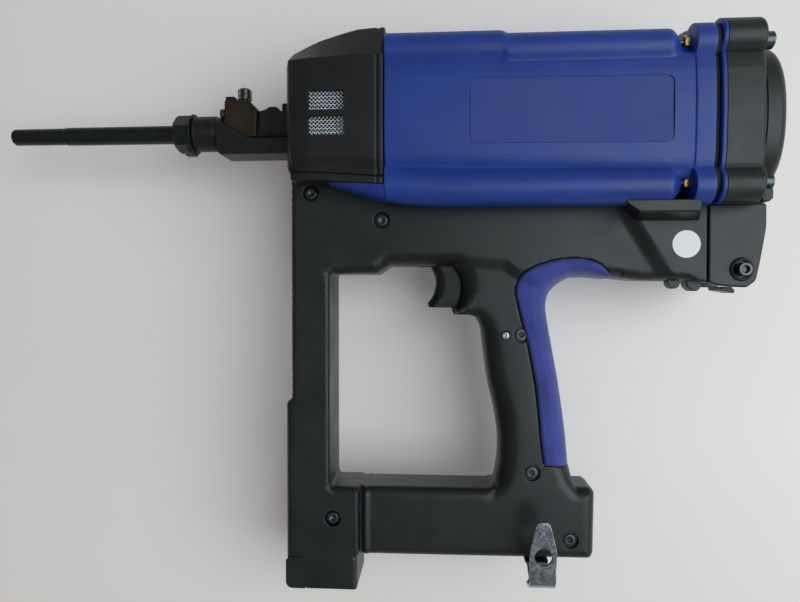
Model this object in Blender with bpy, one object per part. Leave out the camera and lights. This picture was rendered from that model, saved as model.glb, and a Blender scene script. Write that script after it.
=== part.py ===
"""Long-nose gas-actuated nail gun, modelled as an assembly.

Frame: +X from the muzzle to the rear cover, +Z up, +Y to the tool's right-hand side.
Origin: centre of the bounding box in X and Y, underside of the front strut's foot in Z.
Helper functions take millimetres; meshes are stored in metres.
"""

import math

import bmesh
import bpy
from mathutils import Vector
from mathutils.geometry import tessellate_polygon

MM = 0.001

# ---------------------------------------------------------------- driving dimensions (mm)
AXIS_Z = 328.3          # firing axis height over the foot
MUZZLE_X = -277.0       # tip of the long muzzle tube
TUBE_R = 6.5            # muzzle tube outer radius
BORE_R = 4.0            # bore of tube and nose
DRIVER_R = 3.5
NOSE_TRAVEL = 20.0      # how far the nose is pressed in
DRIVE_STROKE = 94.0     # piston stroke
TRIGGER_TRAVEL = 7.0
SHROUD_X0, SHROUD_X1 = -57.3, 8.4
HOUSING_X0, FLANGE_X0, HOUSING_X1 = 8.8, 206.6, 219.0
HOUSING_BORE_R = 49.5
RIB_Y, RIB_Z, RIB_R = 38.0, 46.0, 12.0
SIDE_Y = 55.0           # half width of the housing at the axis
COVER_X0, COVER_X1 = 225.6, 250.0
DOME_R, DOME_X1 = 50.0, 277.0
SHELL_Y = 25.0          # half thickness of the moulded body
SHELL_WALL = 3.5
SPLIT = 0.15            # each half stops this far from the mid-plane
DOOR_PIVOT = (246.0, 226.3)
CELL_Z, CELL_R = 243.0, 14.5
SCREWS = [(-46.5, 280.6), (4.2, 261.3), (100.2, 181.5), (109.7, 84.6), (-31.4, 51.2), (135.7, 39.3)]


# ---------------------------------------------------------------- scene and materials
for old in list(bpy.data.objects):
    bpy.data.objects.remove(old, do_unlink=True)

MATERIALS = {}


def material(name, colour, roughness, metallic=0.0):
    if name not in MATERIALS:
        mat = bpy.data.materials.new(name)
        mat.use_nodes = True
        shader = mat.node_tree.nodes["Principled BSDF"]
        shader.inputs["Base Color"].default_value = (*colour, 1.0)
        shader.inputs["Roughness"].default_value = roughness
        shader.inputs["Metallic"].default_value = metallic
        mat.diffuse_color = (*colour, 1.0)
        MATERIALS[name] = mat
    return MATERIALS[name]


BLUE = material("blue_plastic", (0.035, 0.055, 0.24), 0.38)
BLACK = material("black_plastic", (0.028, 0.032, 0.034), 0.5)
RUBBER = material("blue_rubber", (0.06, 0.07, 0.28), 0.75)
STEEL = material("dark_steel", (0.06, 0.065, 0.065), 0.35, 0.9)
BRIGHT = material("bright_steel", (0.55, 0.56, 0.57), 0.25, 1.0)
BRONZE = material("bronze_plate", (0.11, 0.075, 0.045), 0.45, 0.6)
ALLOY = material("aluminium", (0.6, 0.61, 0.62), 0.4, 1.0)
BRASS = material("brass", (0.6, 0.45, 0.2), 0.3, 1.0)
SEAL = material("black_rubber", (0.015, 0.015, 0.016), 0.8)
BOARD = material("board_green", (0.02, 0.15, 0.06), 0.5)
CELL = material("cell_can", (0.7, 0.7, 0.68), 0.3, 0.8)
CERAMIC = material("white_ceramic", (0.8, 0.8, 0.78), 0.3)


# ---------------------------------------------------------------- mesh helpers
def finish(name, bm, mat, origin=(0.0, 0.0, 0.0), smooth=True, helper=False):
    """Turns a bmesh in millimetres into an object whose origin is at a point in millimetres."""
    bmesh.ops.recalc_face_normals(bm, faces=bm.faces[:])
    for vert in bm.verts:
        vert.co = (vert.co - Vector(origin)) * MM
    mesh = bpy.data.meshes.new(name)
    bm.to_mesh(mesh)
    bm.free()
    obj = bpy.data.objects.new(name, mesh)
    obj.location = Vector(origin) * MM
    bpy.context.scene.collection.objects.link(obj)
    mesh.materials.append(mat)
    if helper:
        obj.hide_render = True
        obj.display_type = "WIRE"
    elif smooth:
        mesh.shade_smooth()
        mesh.set_sharp_from_angle(angle=math.radians(32))
    return obj


def ring_faces(bm, a, b):
    n = len(a)
    for i in range(n):
        bm.faces.new((a[i], a[(i + 1) % n], b[(i + 1) % n], b[i]))


def cap_faces(bm, loops):
    """Closes one flat region bounded by an outer loop and, optionally, holes."""
    verts = [v for loop in loops for v in loop]
    for tri in tessellate_polygon([[v.co for v in loop] for loop in loops]):
        if len(set(tri)) == 3:
            bm.faces.new([verts[i] for i in tri])


def add_prism(bm, points, lo, hi, axis="Y"):
    """A polygon extruded along an axis. Points are (x, z) for Y, (y, z) for X and (x, y) for Z."""
    place = {
        "Y": lambda p, t: (p[0], t, p[1]),
        "X": lambda p, t: (t, p[0], p[1]),
        "Z": lambda p, t: (p[0], p[1], t),
    }[axis]
    a = [bm.verts.new(place(p, lo)) for p in points]
    b = [bm.verts.new(place(p, hi)) for p in points]
    ring_faces(bm, a, b)
    cap_faces(bm, [a])
    cap_faces(bm, [b])


def prism(name, points, lo, hi, mat, axis="Y", origin=(0, 0, 0), bevel=0.0, helper=False, smooth=False):
    bm = bmesh.new()
    add_prism(bm, points, lo, hi, axis)
    if bevel:
        bmesh.ops.recalc_face_normals(bm, faces=bm.faces[:])
        sharp = [e for e in bm.edges if len(e.link_faces) == 2 and e.calc_face_angle(0) > 0.9]
        bmesh.ops.bevel(bm, geom=sharp, offset=bevel, segments=1, affect="EDGES", clamp_overlap=True)
    return finish(name, bm, mat, origin, smooth, helper)


def rectangle(a0, a1, b0, b1):
    return [(a0, b0), (a1, b0), (a1, b1), (a0, b1)]


def box(name, x, y, z, mat, origin=(0, 0, 0), bevel=0.0, helper=False):
    return prism(name, rectangle(x[0], x[1], z[0], z[1]), y[0], y[1], mat, "Y", origin, bevel, helper)


def circle(cx, cy, r, steps, start=0.0):
    return [
        (cx + r * math.cos(start + 2 * math.pi * i / steps), cy + r * math.sin(start + 2 * math.pi * i / steps))
        for i in range(steps)
    ]


def rod(name, axis, centre, r, lo, hi, mat, steps=16, origin=(0, 0, 0), helper=False):
    return prism(name, circle(centre[0], centre[1], r, steps), lo, hi, mat, axis, origin, 0.0, helper, True)


def lathe(name, profile, mat, axis="X", centre=(0.0, AXIS_Z), steps=32, origin=(0, 0, 0), helper=False, start=0.0):
    """Turns a closed profile of (distance along the axis, radius) round the axis. Radius 0 lies on the axis."""
    bm = bmesh.new()
    rings = []
    for along, r in profile:
        ring = []
        for i in range(1 if r == 0 else steps):
            a = start + 2 * math.pi * i / steps
            u, v = centre[0] + r * math.cos(a), centre[1] + r * math.sin(a)
            ring.append(bm.verts.new({"X": (along, u, v), "Y": (u, along, v), "Z": (u, v, along)}[axis]))
        rings.append(ring)
    for a, b in zip(rings, rings[1:] + rings[:1]):
        if len(a) == 1 and len(b) == 1:
            continue
        for i in range(steps):
            j = (i + 1) % steps
            corners = [a[i % len(a)], a[j % len(a)], b[j % len(b)], b[i % len(b)]]
            kept = []
            for corner in corners:
                if corner not in kept:
                    kept.append(corner)
            bm.faces.new(kept)
    return finish(name, bm, mat, origin, True, helper)


def tube_along(bm, path, r, sides):
    """A round tube along a list of points, with flat closed ends."""
    rings = []
    normal = None
    for i, point in enumerate(path):
        ahead = Vector(path[min(i + 1, len(path) - 1)]) - Vector(path[max(i - 1, 0)])
        tangent = ahead.normalized()
        if normal is None:
            normal = tangent.orthogonal().normalized()
        normal = (normal - tangent * normal.dot(tangent)).normalized()
        other = tangent.cross(normal)
        rings.append(
            [
                bm.verts.new(
                    Vector(point)
                    + normal * (r * math.cos(2 * math.pi * k / sides))
                    + other * (r * math.sin(2 * math.pi * k / sides))
                )
                for k in range(sides)
            ]
        )
    for a, b in zip(rings, rings[1:]):
        ring_faces(bm, a, b)
    bm.faces.new(rings[0])
    bm.faces.new(rings[-1])


def spring(name, x0, x1, radius, wire, turns, mat, centre=(0.0, AXIS_Z), per_turn=10, sides=5):
    bm = bmesh.new()
    steps = int(turns * per_turn)
    path = []
    for i in range(steps + 1):
        a = 2 * math.pi * i / per_turn
        path.append(
            (
                x0 + wire + (x1 - x0 - 2 * wire) * i / steps,
                centre[0] + radius * math.cos(a),
                centre[1] + radius * math.sin(a),
            )
        )
    tube_along(bm, path, wire, sides)
    return finish(name, bm, mat)


def boolean(obj, other, operation="DIFFERENCE"):
    """Leaves a live modifier; the other object is a guide. The body halves need the manifold solver: exact leaves them open."""
    other.hide_render = True
    other.display_type = "WIRE"
    modifier = obj.modifiers.new(operation.lower() + "_" + other.name, "BOOLEAN")
    modifier.operation = operation
    modifier.solver = "MANIFOLD" if obj.name.endswith("body_shell") else "EXACT"
    modifier.object = other
    return obj


def offset_corners(corners, d, grow):
    """Moves each side of a polygon of (x, z, radius) inwards by d, or outwards where grow is set."""
    area = sum(a[0] * b[1] - b[0] * a[1] for a, b in zip(corners, corners[1:] + corners[:1]))
    turn = 1.0 if area > 0 else -1.0
    side = turn * (-d if grow else d)
    moved = []
    for i, (x, z, r) in enumerate(corners):
        px, pz, _ = corners[i - 1]
        nx, nz, _ = corners[(i + 1) % len(corners)]
        a = Vector((x - px, z - pz)).normalized()
        b = Vector((nx - x, nz - z)).normalized()
        na, nb = Vector((-a.y, a.x)), Vector((-b.y, b.x))
        k = side / max(1.0 + na.dot(nb), 0.2)
        cross = a.x * b.y - a.y * b.x
        convex = (cross * turn > 0) != grow
        radius = 0.0 if r == 0 else (max(r - d, 0.3) if convex else r + d)
        moved.append((x + (na.x + nb.x) * k, z + (na.y + nb.y) * k, radius))
    return moved


def rounded(corners, steps=2):
    """Points of a polygon whose corners carry their own radius; radius 0 keeps the single point."""
    points = []
    n = len(corners)
    for i, (x, z, r) in enumerate(corners):
        if r == 0:
            points.append((x, z))
            continue
        here = Vector((x, z))
        before = Vector(corners[i - 1][:2]) - here
        after = Vector(corners[(i + 1) % n][:2]) - here
        la, lb = before.length, after.length
        before.normalize()
        after.normalize()
        angle = math.acos(max(-1.0, min(1.0, before.dot(after))))
        reach = min(r / math.tan(angle / 2), 0.45 * la, 0.45 * lb)
        radius = reach * math.tan(angle / 2)
        centre = here + (before + after).normalized() * (radius / math.sin(angle / 2))
        start, end = here + before * reach - centre, here + after * reach - centre
        a0 = math.atan2(start.y, start.x)
        sweep = math.atan2(end.y, end.x) - a0
        sweep = (sweep + math.pi) % (2 * math.pi) - math.pi
        for k in range(steps + 1):
            a = a0 + sweep * k / steps
            points.append((centre.x + radius * math.cos(a), centre.y + radius * math.sin(a)))
    return points


# ---------------------------------------------------------------- moulded body halves
BODY_OUTER = [
    (-59.8, 290.7, 2), (7.2, 290.7, 1), (7.2, 275.4, 1), (221.5, 275.4, 0),
    (221.5, 216.4, 1), (214.3, 218.6, 0), (181.7, 219.0, 0), (146.0, 220.6, 1.5), (136.0, 223.8, 6),
    (121.5, 212.5, 8), (116.9, 200.2, 6), (119.3, 185.8, 0), (123.0, 163.9, 0), (127.5, 133.3, 0),
    (132.4, 92.0, 0), (136.0, 83.8, 2), (147.5, 83.6, 4), (153.3, 78.0, 4), (152.8, 26.2, 4),
    (-13.1, 26.2, 1), (-13.1, 0.0, 2), (-64.2, 0.0, 5), (-64.2, 132.5, 2), (-60.0, 136.0, 1),
]
BODY_HOLE = [
    (-35.7, 223.9, 4), (1.3, 223.9, 3), (8.4, 229.6, 3), (59.8, 229.2, 2), (59.8, 195.2, 1.5), (70.5, 195.0, 3),
    (74.0, 189.0, 3), (79.3, 148.0, 0), (83.9, 128.8, 0), (87.1, 109.1, 0), (87.1, 91.9, 0), (84.5, 72.8, 6),
    (-35.7, 72.8, 4),
]


def body_half(name, side):
    """A tub: rounded outer wall, rim at the mid-plane and a hollow inside. side is -1 (left) or +1 (right)."""
    bm = bmesh.new()

    def loop(corners, d, y, grow):
        return [bm.verts.new((p[0], side * y, p[1])) for p in rounded(offset_corners(corners, d, grow))]

    levels = [(0.0, SPLIT), (0.0, SHELL_Y - 4.0), (1.2, SHELL_Y - 1.2), (4.0, SHELL_Y)]
    outer = [loop(BODY_OUTER, d, y, False) for d, y in levels]
    hole = [loop(BODY_HOLE, d, y, True) for d, y in levels]
    inner_levels = [(SHELL_WALL, SPLIT), (SHELL_WALL, SHELL_Y - SHELL_WALL)]
    in_outer = [loop(BODY_OUTER, d, y, False) for d, y in inner_levels]
    in_hole = [loop(BODY_HOLE, d, y, True) for d, y in inner_levels]
    for rings in (outer, hole, in_outer, in_hole):
        for a, b in zip(rings, rings[1:]):
            ring_faces(bm, a, b)
    cap_faces(bm, [outer[-1], hole[-1]])
    cap_faces(bm, [in_outer[-1], in_hole[-1]])
    ring_faces(bm, outer[0], in_outer[0])
    ring_faces(bm, hole[0], in_hole[0])
    shell = finish(name, bm, BLACK)

    def part(label, points, lo, hi, axis="Y", steps=None):
        return prism(name + "_" + label, points, min(side * lo, side * hi) if axis == "Y" else lo,
                     max(side * lo, side * hi) if axis == "Y" else hi, BLACK, axis, helper=True)

    # screw bosses stand on the outer wall
    for i, (x, z) in enumerate(SCREWS):
        boolean(shell, part(f"boss_{i}", circle(x, z, 7.4, 10, 0.1), 0.4, SHELL_Y - 2.0), "UNION")
    # lip under the trigger
    boolean(shell, part("nub", [(53.4, 199.2), (62.5, 199.2), (62.5, 195.4), (54.6, 195.4)], SPLIT, 13.0), "UNION")
    # nubs under the rear of the beam
    boolean(shell, part("nub_front", circle(206.8, 217.6, 3.9, 10), SPLIT, 5.0), "UNION")
    boolean(shell, part("nub_rear", rounded([(214.6, 219.0, 0), (216.8, 212.0, 1.5), (219.6, 211.6, 1.5), (221.3, 218.0, 0)]), SPLIT, 7.0), "UNION")
    for i, (x, z) in enumerate(SCREWS):
        if side < 0:
            boolean(shell, part(f"recess_{i}", circle(x, z, 5.4, 12, 0.13), SHELL_Y - 4.5, SHELL_Y + 2.0))
            boolean(shell, part(f"screw_hole_{i}", circle(x, z, 2.4, 8, 0.21), -1.0, SHELL_Y - 3.0))
        else:
            boolean(shell, part(f"screw_hole_{i}", circle(x, z, 2.4, 8, 0.21), -1.0, 14.0))
    # trigger slot, way out for the gas cell, battery bay mouth, gas pipe hole
    boolean(shell, part("trigger_slot", rectangle(30.0, 79.0, 199.5, 232.0), -1.0, 8.2))
    boolean(shell, part("cell_mouth", rectangle(210.0, 225.0, 222.45, 262.0), -1.0, 18.5))
    boolean(shell, part("battery_mouth", rectangle(-60.7, -16.6, -2.0, 5.0), -1.0, 18.6))
    boolean(shell, rod(name + "_pipe_hole", "Z", (209.0, 0.0), 2.0, 268.0, 280.0, BLACK, 10, helper=True))
    if side < 0:
        boolean(shell, part("latch_slot", rounded([(-61.0, -2.0, 0), (-49.5, -2.0, 0), (-49.5, 23.0, 4), (-61.0, 23.0, 4)]), 17.0, SHELL_Y + 2.0))
        boolean(shell, part("pin_hole", circle(90.9, 180.0, 2.9, 12), SHELL_Y - 1.6, SHELL_Y + 2.0))
        boolean(shell, part("hook_hole", circle(113.0, 38.0, 2.3, 10), SHELL_Y - 6.0, SHELL_Y + 2.0))
    return shell


left_shell = body_half("left_body_shell", -1)
right_shell = body_half("right_body_shell", 1)


def body_screw(name, x, z):
    bm = bmesh.new()
    add_prism(bm, circle(x, z, 1.9, 8), -20.6, 12.0)
    shank = finish(name + "_shank", bm, BRIGHT, helper=True)
    bm = bmesh.new()
    add_prism(bm, circle(x, z, 3.9, 12), -24.2, -20.9)
    head = finish(name, bm, BRIGHT)
    for vert in shank.data.vertices:
        if vert.co.y < -20.0 * MM:
            vert.co.y = -22.0 * MM
    boolean(head, shank, "UNION")
    socket = prism(name + "_socket", circle(x, z, 1.9, 6), -26.0, -22.6, BRIGHT, helper=True)
    return boolean(head, socket)


for i, (x, z) in enumerate(SCREWS):
    body_screw(f"body_screw_{i + 1}", x, z)

# ---------------------------------------------------------------- grip pads
PAD_BACK = [
    (149.6, 220.6), (138.9, 220.4), (130.4, 216.1), (123.3, 208.8), (120.4, 200.1), (122.6, 186.3), (126.3, 164.4),
    (130.8, 133.8), (135.4, 94.0),
]
PAD_FRONT = [
    (127.4, 90.4), (117.5, 91.6), (115.4, 115.8), (113.6, 135.9), (110.7, 158.5), (108.2, 173.0), (106.8, 183.0),
    (102.2, 194.6), (98.9, 207.5), (98.0, 216.0), (101.4, 223.8), (109.7, 228.8), (122.3, 232.6), (136.2, 234.0),
    (150.0, 231.9), (157.0, 227.9), (159.8, 223.7), (158.8, 220.6),
]


def grip_pad(name, side):
    y0, y1 = SHELL_Y + 0.3, SHELL_Y + 1.8

    def span(a, b):
        return min(side * a, side * b), max(side * a, side * b)

    pad = prism(name, PAD_BACK + PAD_FRONT, *span(y0, y1), RUBBER)
    strip_out = PAD_BACK[1:]
    strip_in = []
    for i, (x, z) in enumerate(strip_out):
        px, pz = strip_out[max(i - 1, 0)]
        nx, nz = strip_out[min(i + 1, len(strip_out) - 1)]
        run = Vector((nx - px, nz - pz)).normalized()
        strip_in.append((x + run.y * 2.6, z - run.x * 2.6))
    strip = prism(name + "_strip", strip_out + strip_in[::-1], *span(SPLIT, y1 - 0.4), RUBBER, helper=True)
    return boolean(pad, strip, "UNION")


grip_pad("left_grip_pad", -1)
grip_pad("right_grip_pad", 1)


# ---------------------------------------------------------------- housing family (lofted along X)
def housing_loop(rib_top, rib_bottom, side_y, top, bottom_flat, rib_r=RIB_R, steps=3):
    """Closed (y, z) loop round the firing axis: convex sides, a rib at each corner, a flat between the lower ribs."""
    half = []
    # bottom flat, from the middle outwards
    drop = math.sqrt(max(rib_r**2 - (abs(bottom_flat) - rib_bottom) ** 2, 0.0))
    half.append((0.0, bottom_flat))
    first = math.atan2(bottom_flat + rib_bottom, -drop) % (2 * math.pi)
    for k in range(steps + 1):
        a = first + (math.radians(365) - first) * k / steps
        half.append((RIB_Y + rib_r * math.cos(a), -rib_bottom + rib_r * math.sin(a)))
    # convex side
    for t in (0.25, 0.5, 0.75):
        z = -rib_bottom + (rib_top + rib_bottom) * t
        half.append((side_y - (side_y - RIB_Y - rib_r) * (2 * t - 1) ** 2 * 0.8, z))
    first, last = math.radians(-5), math.radians(112)
    for k in range(steps + 1):
        a = first + (last - first) * k / steps
        half.append((RIB_Y + rib_r * math.cos(a), rib_top + rib_r * math.sin(a)))
    edge = half[-1]
    half.append((edge[0] * 0.5, edge[1] + (top - edge[1]) * 0.75))
    half.append((0.0, top))
    return half + [(-y, z) for y, z in half[-2:0:-1]]


def loft_tube(name, stations, inner_r, mat, steps=28):
    """Joins equal loops at several X into a tube with a round bore."""
    bm = bmesh.new()
    rings = [[bm.verts.new((x, y, AXIS_Z + z)) for y, z in loop] for x, loop in stations]
    inside = [
        [bm.verts.new((x, y, AXIS_Z + z)) for y, z in circle(0.0, 0.0, inner_r, steps)]
        for x in (stations[0][0], stations[-1][0])
    ]
    for a, b in zip(rings, rings[1:]):
        ring_faces(bm, a, b)
    ring_faces(bm, inside[0], inside[1])
    cap_faces(bm, [rings[0], inside[0]])
    cap_faces(bm, [rings[-1], inside[1]])
    return finish(name, bm, mat)


front_loop = housing_loop(42.5, 47.5, SIDE_Y, 57.5, -52.5)
main_loop = housing_loop(40.5, 47.5, SIDE_Y, 56.0, -52.5)
flange_loop = housing_loop(43.5, 47.0, SIDE_Y, 58.5, -52.5)
cover_loop = housing_loop(45.5, RIB_Z, SIDE_Y, 61.0, -50.5)
groove_loop = housing_loop(43.5, 44.0, SIDE_Y - 2.5, 59.0, -50.5, RIB_R - 1.5)

housing = loft_tube(
    "main_housing",
    [(HOUSING_X0, front_loop), (84.0, front_loop), (90.0, main_loop), (FLANGE_X0 - 1.0, main_loop),
     (FLANGE_X0, flange_loop), (HOUSING_X1, flange_loop)],
    HOUSING_BORE_R, BLUE,
)
for side in (-1, 1):
    tag = "left" if side < 0 else "right"
    panel = prism(
        f"panel_recess_{tag}",
        rounded([(63.7, AXIS_Z + 20.5, 5), (192.3, AXIS_Z + 20.5, 5), (192.3, AXIS_Z - 21.5, 5), (63.7, AXIS_Z - 21.5, 5)]),
        min(side * 53.2, side * 60.0), max(side * 53.2, side * 60.0), BLUE, helper=True,
    )
    boolean(housing, panel)
gasket = loft_tube("rear_gasket", [(219.3, groove_loop), (222.2, groove_loop)], 46.0, SEAL)
spacer = loft_tube("rear_spacer_ring", [(222.5, cover_loop), (225.3, cover_loop)], 46.0, BLUE)
cover_end = housing_loop(44.5, RIB_Z - 1.0, SIDE_Y - 1.5, 59.5, -50.5)
cover = loft_tube("rear_cover", [(COVER_X0, cover_loop), (COVER_X1 - 3.0, cover_loop), (COVER_X1, cover_end)], 46.0, BLACK)
plate = lathe("rear_cover_plate", [(245.0, 30.0), (245.0, 47.7), (249.7, 47.7), (249.7, 30.0)], BLACK, steps=30, helper=True)
boolean(cover, plate, "UNION")
REAR_SCREWS = [(-RIB_Y, RIB_Z - 1.5), (RIB_Y, RIB_Z - 1.5), (-RIB_Y, -RIB_Z), (RIB_Y, -RIB_Z)]
for i, (y, z) in enumerate(REAR_SCREWS):
    hole = rod(f"rear_screw_hole_{i}", "X", (y, AXIS_Z + z), 2.8, 196.0, 262.0, BLACK, 10, helper=True)
    for piece in (housing, gasket, spacer, cover):
        boolean(piece, hole)
    lathe(
        f"rear_screw_{i + 1}",
        [(204.5, 0), (204.5, 2.3), (COVER_X1 + 0.3, 2.3), (COVER_X1 + 0.3, 5.6), (257.4, 5.6), (258.2, 4.8), (258.2, 2.6),
         (254.5, 2.6), (254.5, 0)],
        STEEL, centre=(y, AXIS_Z + z), steps=12,
    )
pipe_way = rod("housing_pipe_hole", "Z", (209.0, 0.0), 2.0, 270.0, 284.0, BLUE, 10, helper=True)
boolean(housing, pipe_way)

motor_cover = lathe(
    "motor_cover",
    [(250.3, 46.0), (250.3, DOME_R), (268.5, DOME_R), (272.0, DOME_R - 3.0), (274.8, 34.0), (276.6, 16.0), (DOME_X1, 0),
     (274.5, 0), (272.2, 32.0), (269.0, 44.0), (266.0, 46.0)],
    BLACK, steps=28,
)

# ---------------------------------------------------------------- front shroud
def shroud_loop(half, low, high, flat_top, inset=0.0):
    """(y, z) loop: flat sides, sloping shoulders, a flat top and a raised bottom between two skirts."""
    floor = max(low + 1.5, 291.1)
    corners = [
        (-28.0, floor, 1), (28.0, floor, 1), (32.0, low, 1), (half - 4.0, low, 3), (half, low + 8.0, 4), (half, high - 22.0, 8),
        (flat_top, high, 6), (-flat_top, high, 6), (-half, high - 22.0, 8), (-half, low + 8.0, 4), (-half + 4.0, low, 3),
        (-32.0, low, 1),
    ]
    if inset:
        corners = offset_corners(corners, inset, False)
    return rounded(corners, 2)


SHROUD_STATIONS = [
    (SHROUD_X0, 43.0, 297.0, 368.0, 22.0), (-55.0, 47.0, 291.5, 372.5, 25.0), (-42.0, 49.5, 289.0, 379.5, 26.0),
    (-35.3, 50.0, 287.0, 381.8, 27.0), (-29.0, 50.0, 284.0, 383.8, 27.5), (-21.3, 50.0, 284.0, 386.0, 28.0),
    (-10.9, 50.0, 284.0, 388.6, 28.0), (SHROUD_X1, 50.0, 284.0, 389.8, 28.0),
]
bm = bmesh.new()
outer = [[bm.verts.new((x, y, z)) for y, z in shroud_loop(h, lo, hi, ft)] for x, h, lo, hi, ft in SHROUD_STATIONS]
inner = [
    [bm.verts.new((x, y, z)) for y, z in shroud_loop(h, lo, hi, ft, 2.8)]
    for x, h, lo, hi, ft in [(-54.0,) + SHROUD_STATIONS[1][1:]] + SHROUD_STATIONS[2:]
]
for rings in (outer, inner):
    for a, b in zip(rings, rings[1:]):
        ring_faces(bm, a, b)
cap_faces(bm, [outer[0]])
cap_faces(bm, [inner[0]])
ring_faces(bm, outer[-1], inner[-1])
shroud = finish("front_shroud", bm, BLACK)
boolean(shroud, prism("nose_opening", rectangle(-15.2, 15.2, 308.5, 350.0), -60.0, -50.0, BLACK, "X", helper=True))
for side in (-1, 1):
    tag = "left" if side < 0 else "right"
    for k, (z0, z1) in enumerate(((314.4, 326.7), (331.0, 343.4))):
        window = prism(
            f"window_{tag}_{k}", rounded([(-41.4, z0, 1.5), (-17.2, z0, 1.5), (-17.2, z1, 1.5), (-41.4, z1, 1.5)], 2),
            min(side * 45.0, side * 52.0), max(side * 45.0, side * 52.0), BLACK, helper=True,
        )
        boolean(shroud, window)
    box(f"filter_screen_{tag}", (-44.5, -14.0), sorted((side * 45.0, side * 45.8)), (311.0, 347.0), BRIGHT)

# ---------------------------------------------------------------- nose (moves as one)
lathe(
    "muzzle_tube",
    [(MUZZLE_X, BORE_R), (MUZZLE_X, 5.0), (MUZZLE_X + 2.2, 6.0), (-235.0, 6.1), (-234.6, 6.5), (-137.0, TUBE_R + 0.2),
     (-137.0, BORE_R)],
    STEEL, steps=24,
)
nut = lathe("hex_nut", [(-149.4, 0), (-149.4, 12.2), (-147.4, 14.2), (-137.4, 14.2), (-137.4, 0)], STEEL, steps=6, start=math.radians(42.8))
boolean(nut, rod("nut_bore", "X", (0.0, AXIS_Z), 7.0, -155.0, -130.0, STEEL, 20, helper=True))
lathe("lock_washer", [(-137.1, 7.1), (-137.1, 14.0), (-136.1, 14.0), (-136.1, 7.1)], STEEL, steps=24)
bpy.data.objects["lock_washer"].data.materials.clear()
bpy.data.objects["lock_washer"].data.materials.append(STEEL)
tab = prism("lock_tab", [(x, AXIS_Z + z) for x, z in
                         ((-143.5, -15.8), (-136.2, -15.8), (-136.2, -12.0), (-137.0, -12.0), (-137.0, -14.5), (-143.5, -14.5))],
            -3.5, 3.5, STEEL, helper=True)
boolean(bpy.data.objects["lock_washer"], tab, "UNION")

nose_body = lathe(
    "nose_body", [(-135.8, BORE_R), (-135.8, 12.0), (-135.0, 12.8), (-114.0, 12.8), (-114.0, 8.0), (-51.0, 8.0), (-51.0, BORE_R)],
    STEEL, steps=24,
)
nose_block = prism(
    "nose_block",
    [(-116.0, 313.0), (-113.5, 310.6), (-51.0, 310.6), (-51.0, 322.6), (-92.9, 322.9), (-114.5, 334.2), (-116.0, 333.6)],
    -14.0, 14.0, STEEL, bevel=1.2, helper=True,
)
boolean(nose_body, nose_block, "UNION")
boolean(nose_body, rod("nose_bore", "X", (0.0, AXIS_Z), BORE_R, -140.0, -40.0, STEEL, 24, helper=True))

bracket = prism(
    "nose_bracket",
    [(-110.7, 333.0), (-93.2, 323.6), (-90.8, 323.5), (-87.2, 334.0), (-86.6, 342.6), (-93.7, 349.6), (-110.7, 349.8)],
    -11.5, 11.5, BRONZE,
)
boolean(bracket, prism("bracket_inside", rectangle(-8.6, 8.6, 315.0, 346.2), -112.0, -85.0, BRONZE, "X", helper=True))
box("nose_spacer", (-110.7, -104.4), (-8.0, 8.0), (350.1, 353.4), STEEL)
screw = lathe(
    "nose_cap_screw",
    [(346.6, 0), (346.6, 2.4), (352.6, 2.4), (352.6, 4.9), (360.3, 4.9), (360.9, 4.3), (360.9, 2.4), (357.0, 2.4), (357.0, 0)],
    STEEL, "Z", (-99.0, 0.0), 16,
)
boolean(bracket, rod("cap_screw_hole", "Z", (-99.0, 0.0), 2.7, 340.0, 355.0, BRONZE, 12, helper=True))
side_screw = rod("nose_side_screw", "Y", (-110.2, 339.6), 3.3, -14.6, -11.8, BRIGHT, 12)
boolean(side_screw, prism("side_screw_socket", circle(-110.2, 339.6, 1.5, 6), -16.0, -13.2, BRIGHT, helper=True))
clamp = prism(
    "nose_clamp",
    [(-90.2, 323.2), (-62.0, 323.2), (-62.0, 348.2), (-69.3, 348.2), (-69.6, 343.4), (-72.2, 343.2), (-72.6, 344.6),
     (-79.8, 344.6), (-80.2, 343.4), (-86.2, 343.4), (-86.6, 334.0)],
    -9.0, 9.0, STEEL, bevel=0.5,
)
boolean(clamp, rod("clamp_bore", "X", (0.0, AXIS_Z), 8.4, -95.0, -50.0, STEEL, 20, helper=True))
boolean(clamp, prism("clamp_foot", rectangle(-9.5, 9.5, 318.0, 327.0), -95.0, -50.0, STEEL, "X", helper=True))

# lifter: yoke behind the nose, four rods along the cylinder, a spring ring and a rear ring
lifter = prism("lifter", rounded([(-43.0, AXIS_Z - 15.5, 3), (43.0, AXIS_Z - 15.5, 3), (43.0, AXIS_Z + 15.5, 3), (-43.0, AXIS_Z + 15.5, 3)]),
               -50.7, -46.5, STEEL, "X")
boolean(lifter, rod("lifter_hole", "X", (0.0, AXIS_Z), BORE_R + 0.3, -55.0, -40.0, STEEL, 16, helper=True))
ROD_R = 43.7
for i, angle in enumerate((-17, 17, 163, 197)):
    a = math.radians(angle)
    boolean(lifter, rod(f"lifter_rod_{i}", "X", (ROD_R * math.cos(a) * 0.985, AXIS_Z + ROD_R * math.sin(a)), 1.6, -48.0, 86.0, STEEL, 8, helper=True), "UNION")
boolean(lifter, lathe("lifter_spring_ring", [(10.0, 35.0), (10.0, 44.6), (13.0, 44.6), (13.0, 35.0)], STEEL, steps=24, helper=True), "UNION")
boolean(lifter, lathe("lifter_rear_ring", [(84.0, 42.9), (84.0, 46.0), (87.6, 46.0), (87.6, 42.9)], STEEL, steps=24, helper=True), "UNION")
lathe("combustion_sleeve", [(87.9, 43.0), (87.9, 46.0), (182.0, 46.0), (182.0, 43.0)], ALLOY, steps=28)
spring("probe_spring", 13.3, 105.6, 37.6, 1.2, 5, BRIGHT, per_turn=10, sides=4)

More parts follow.
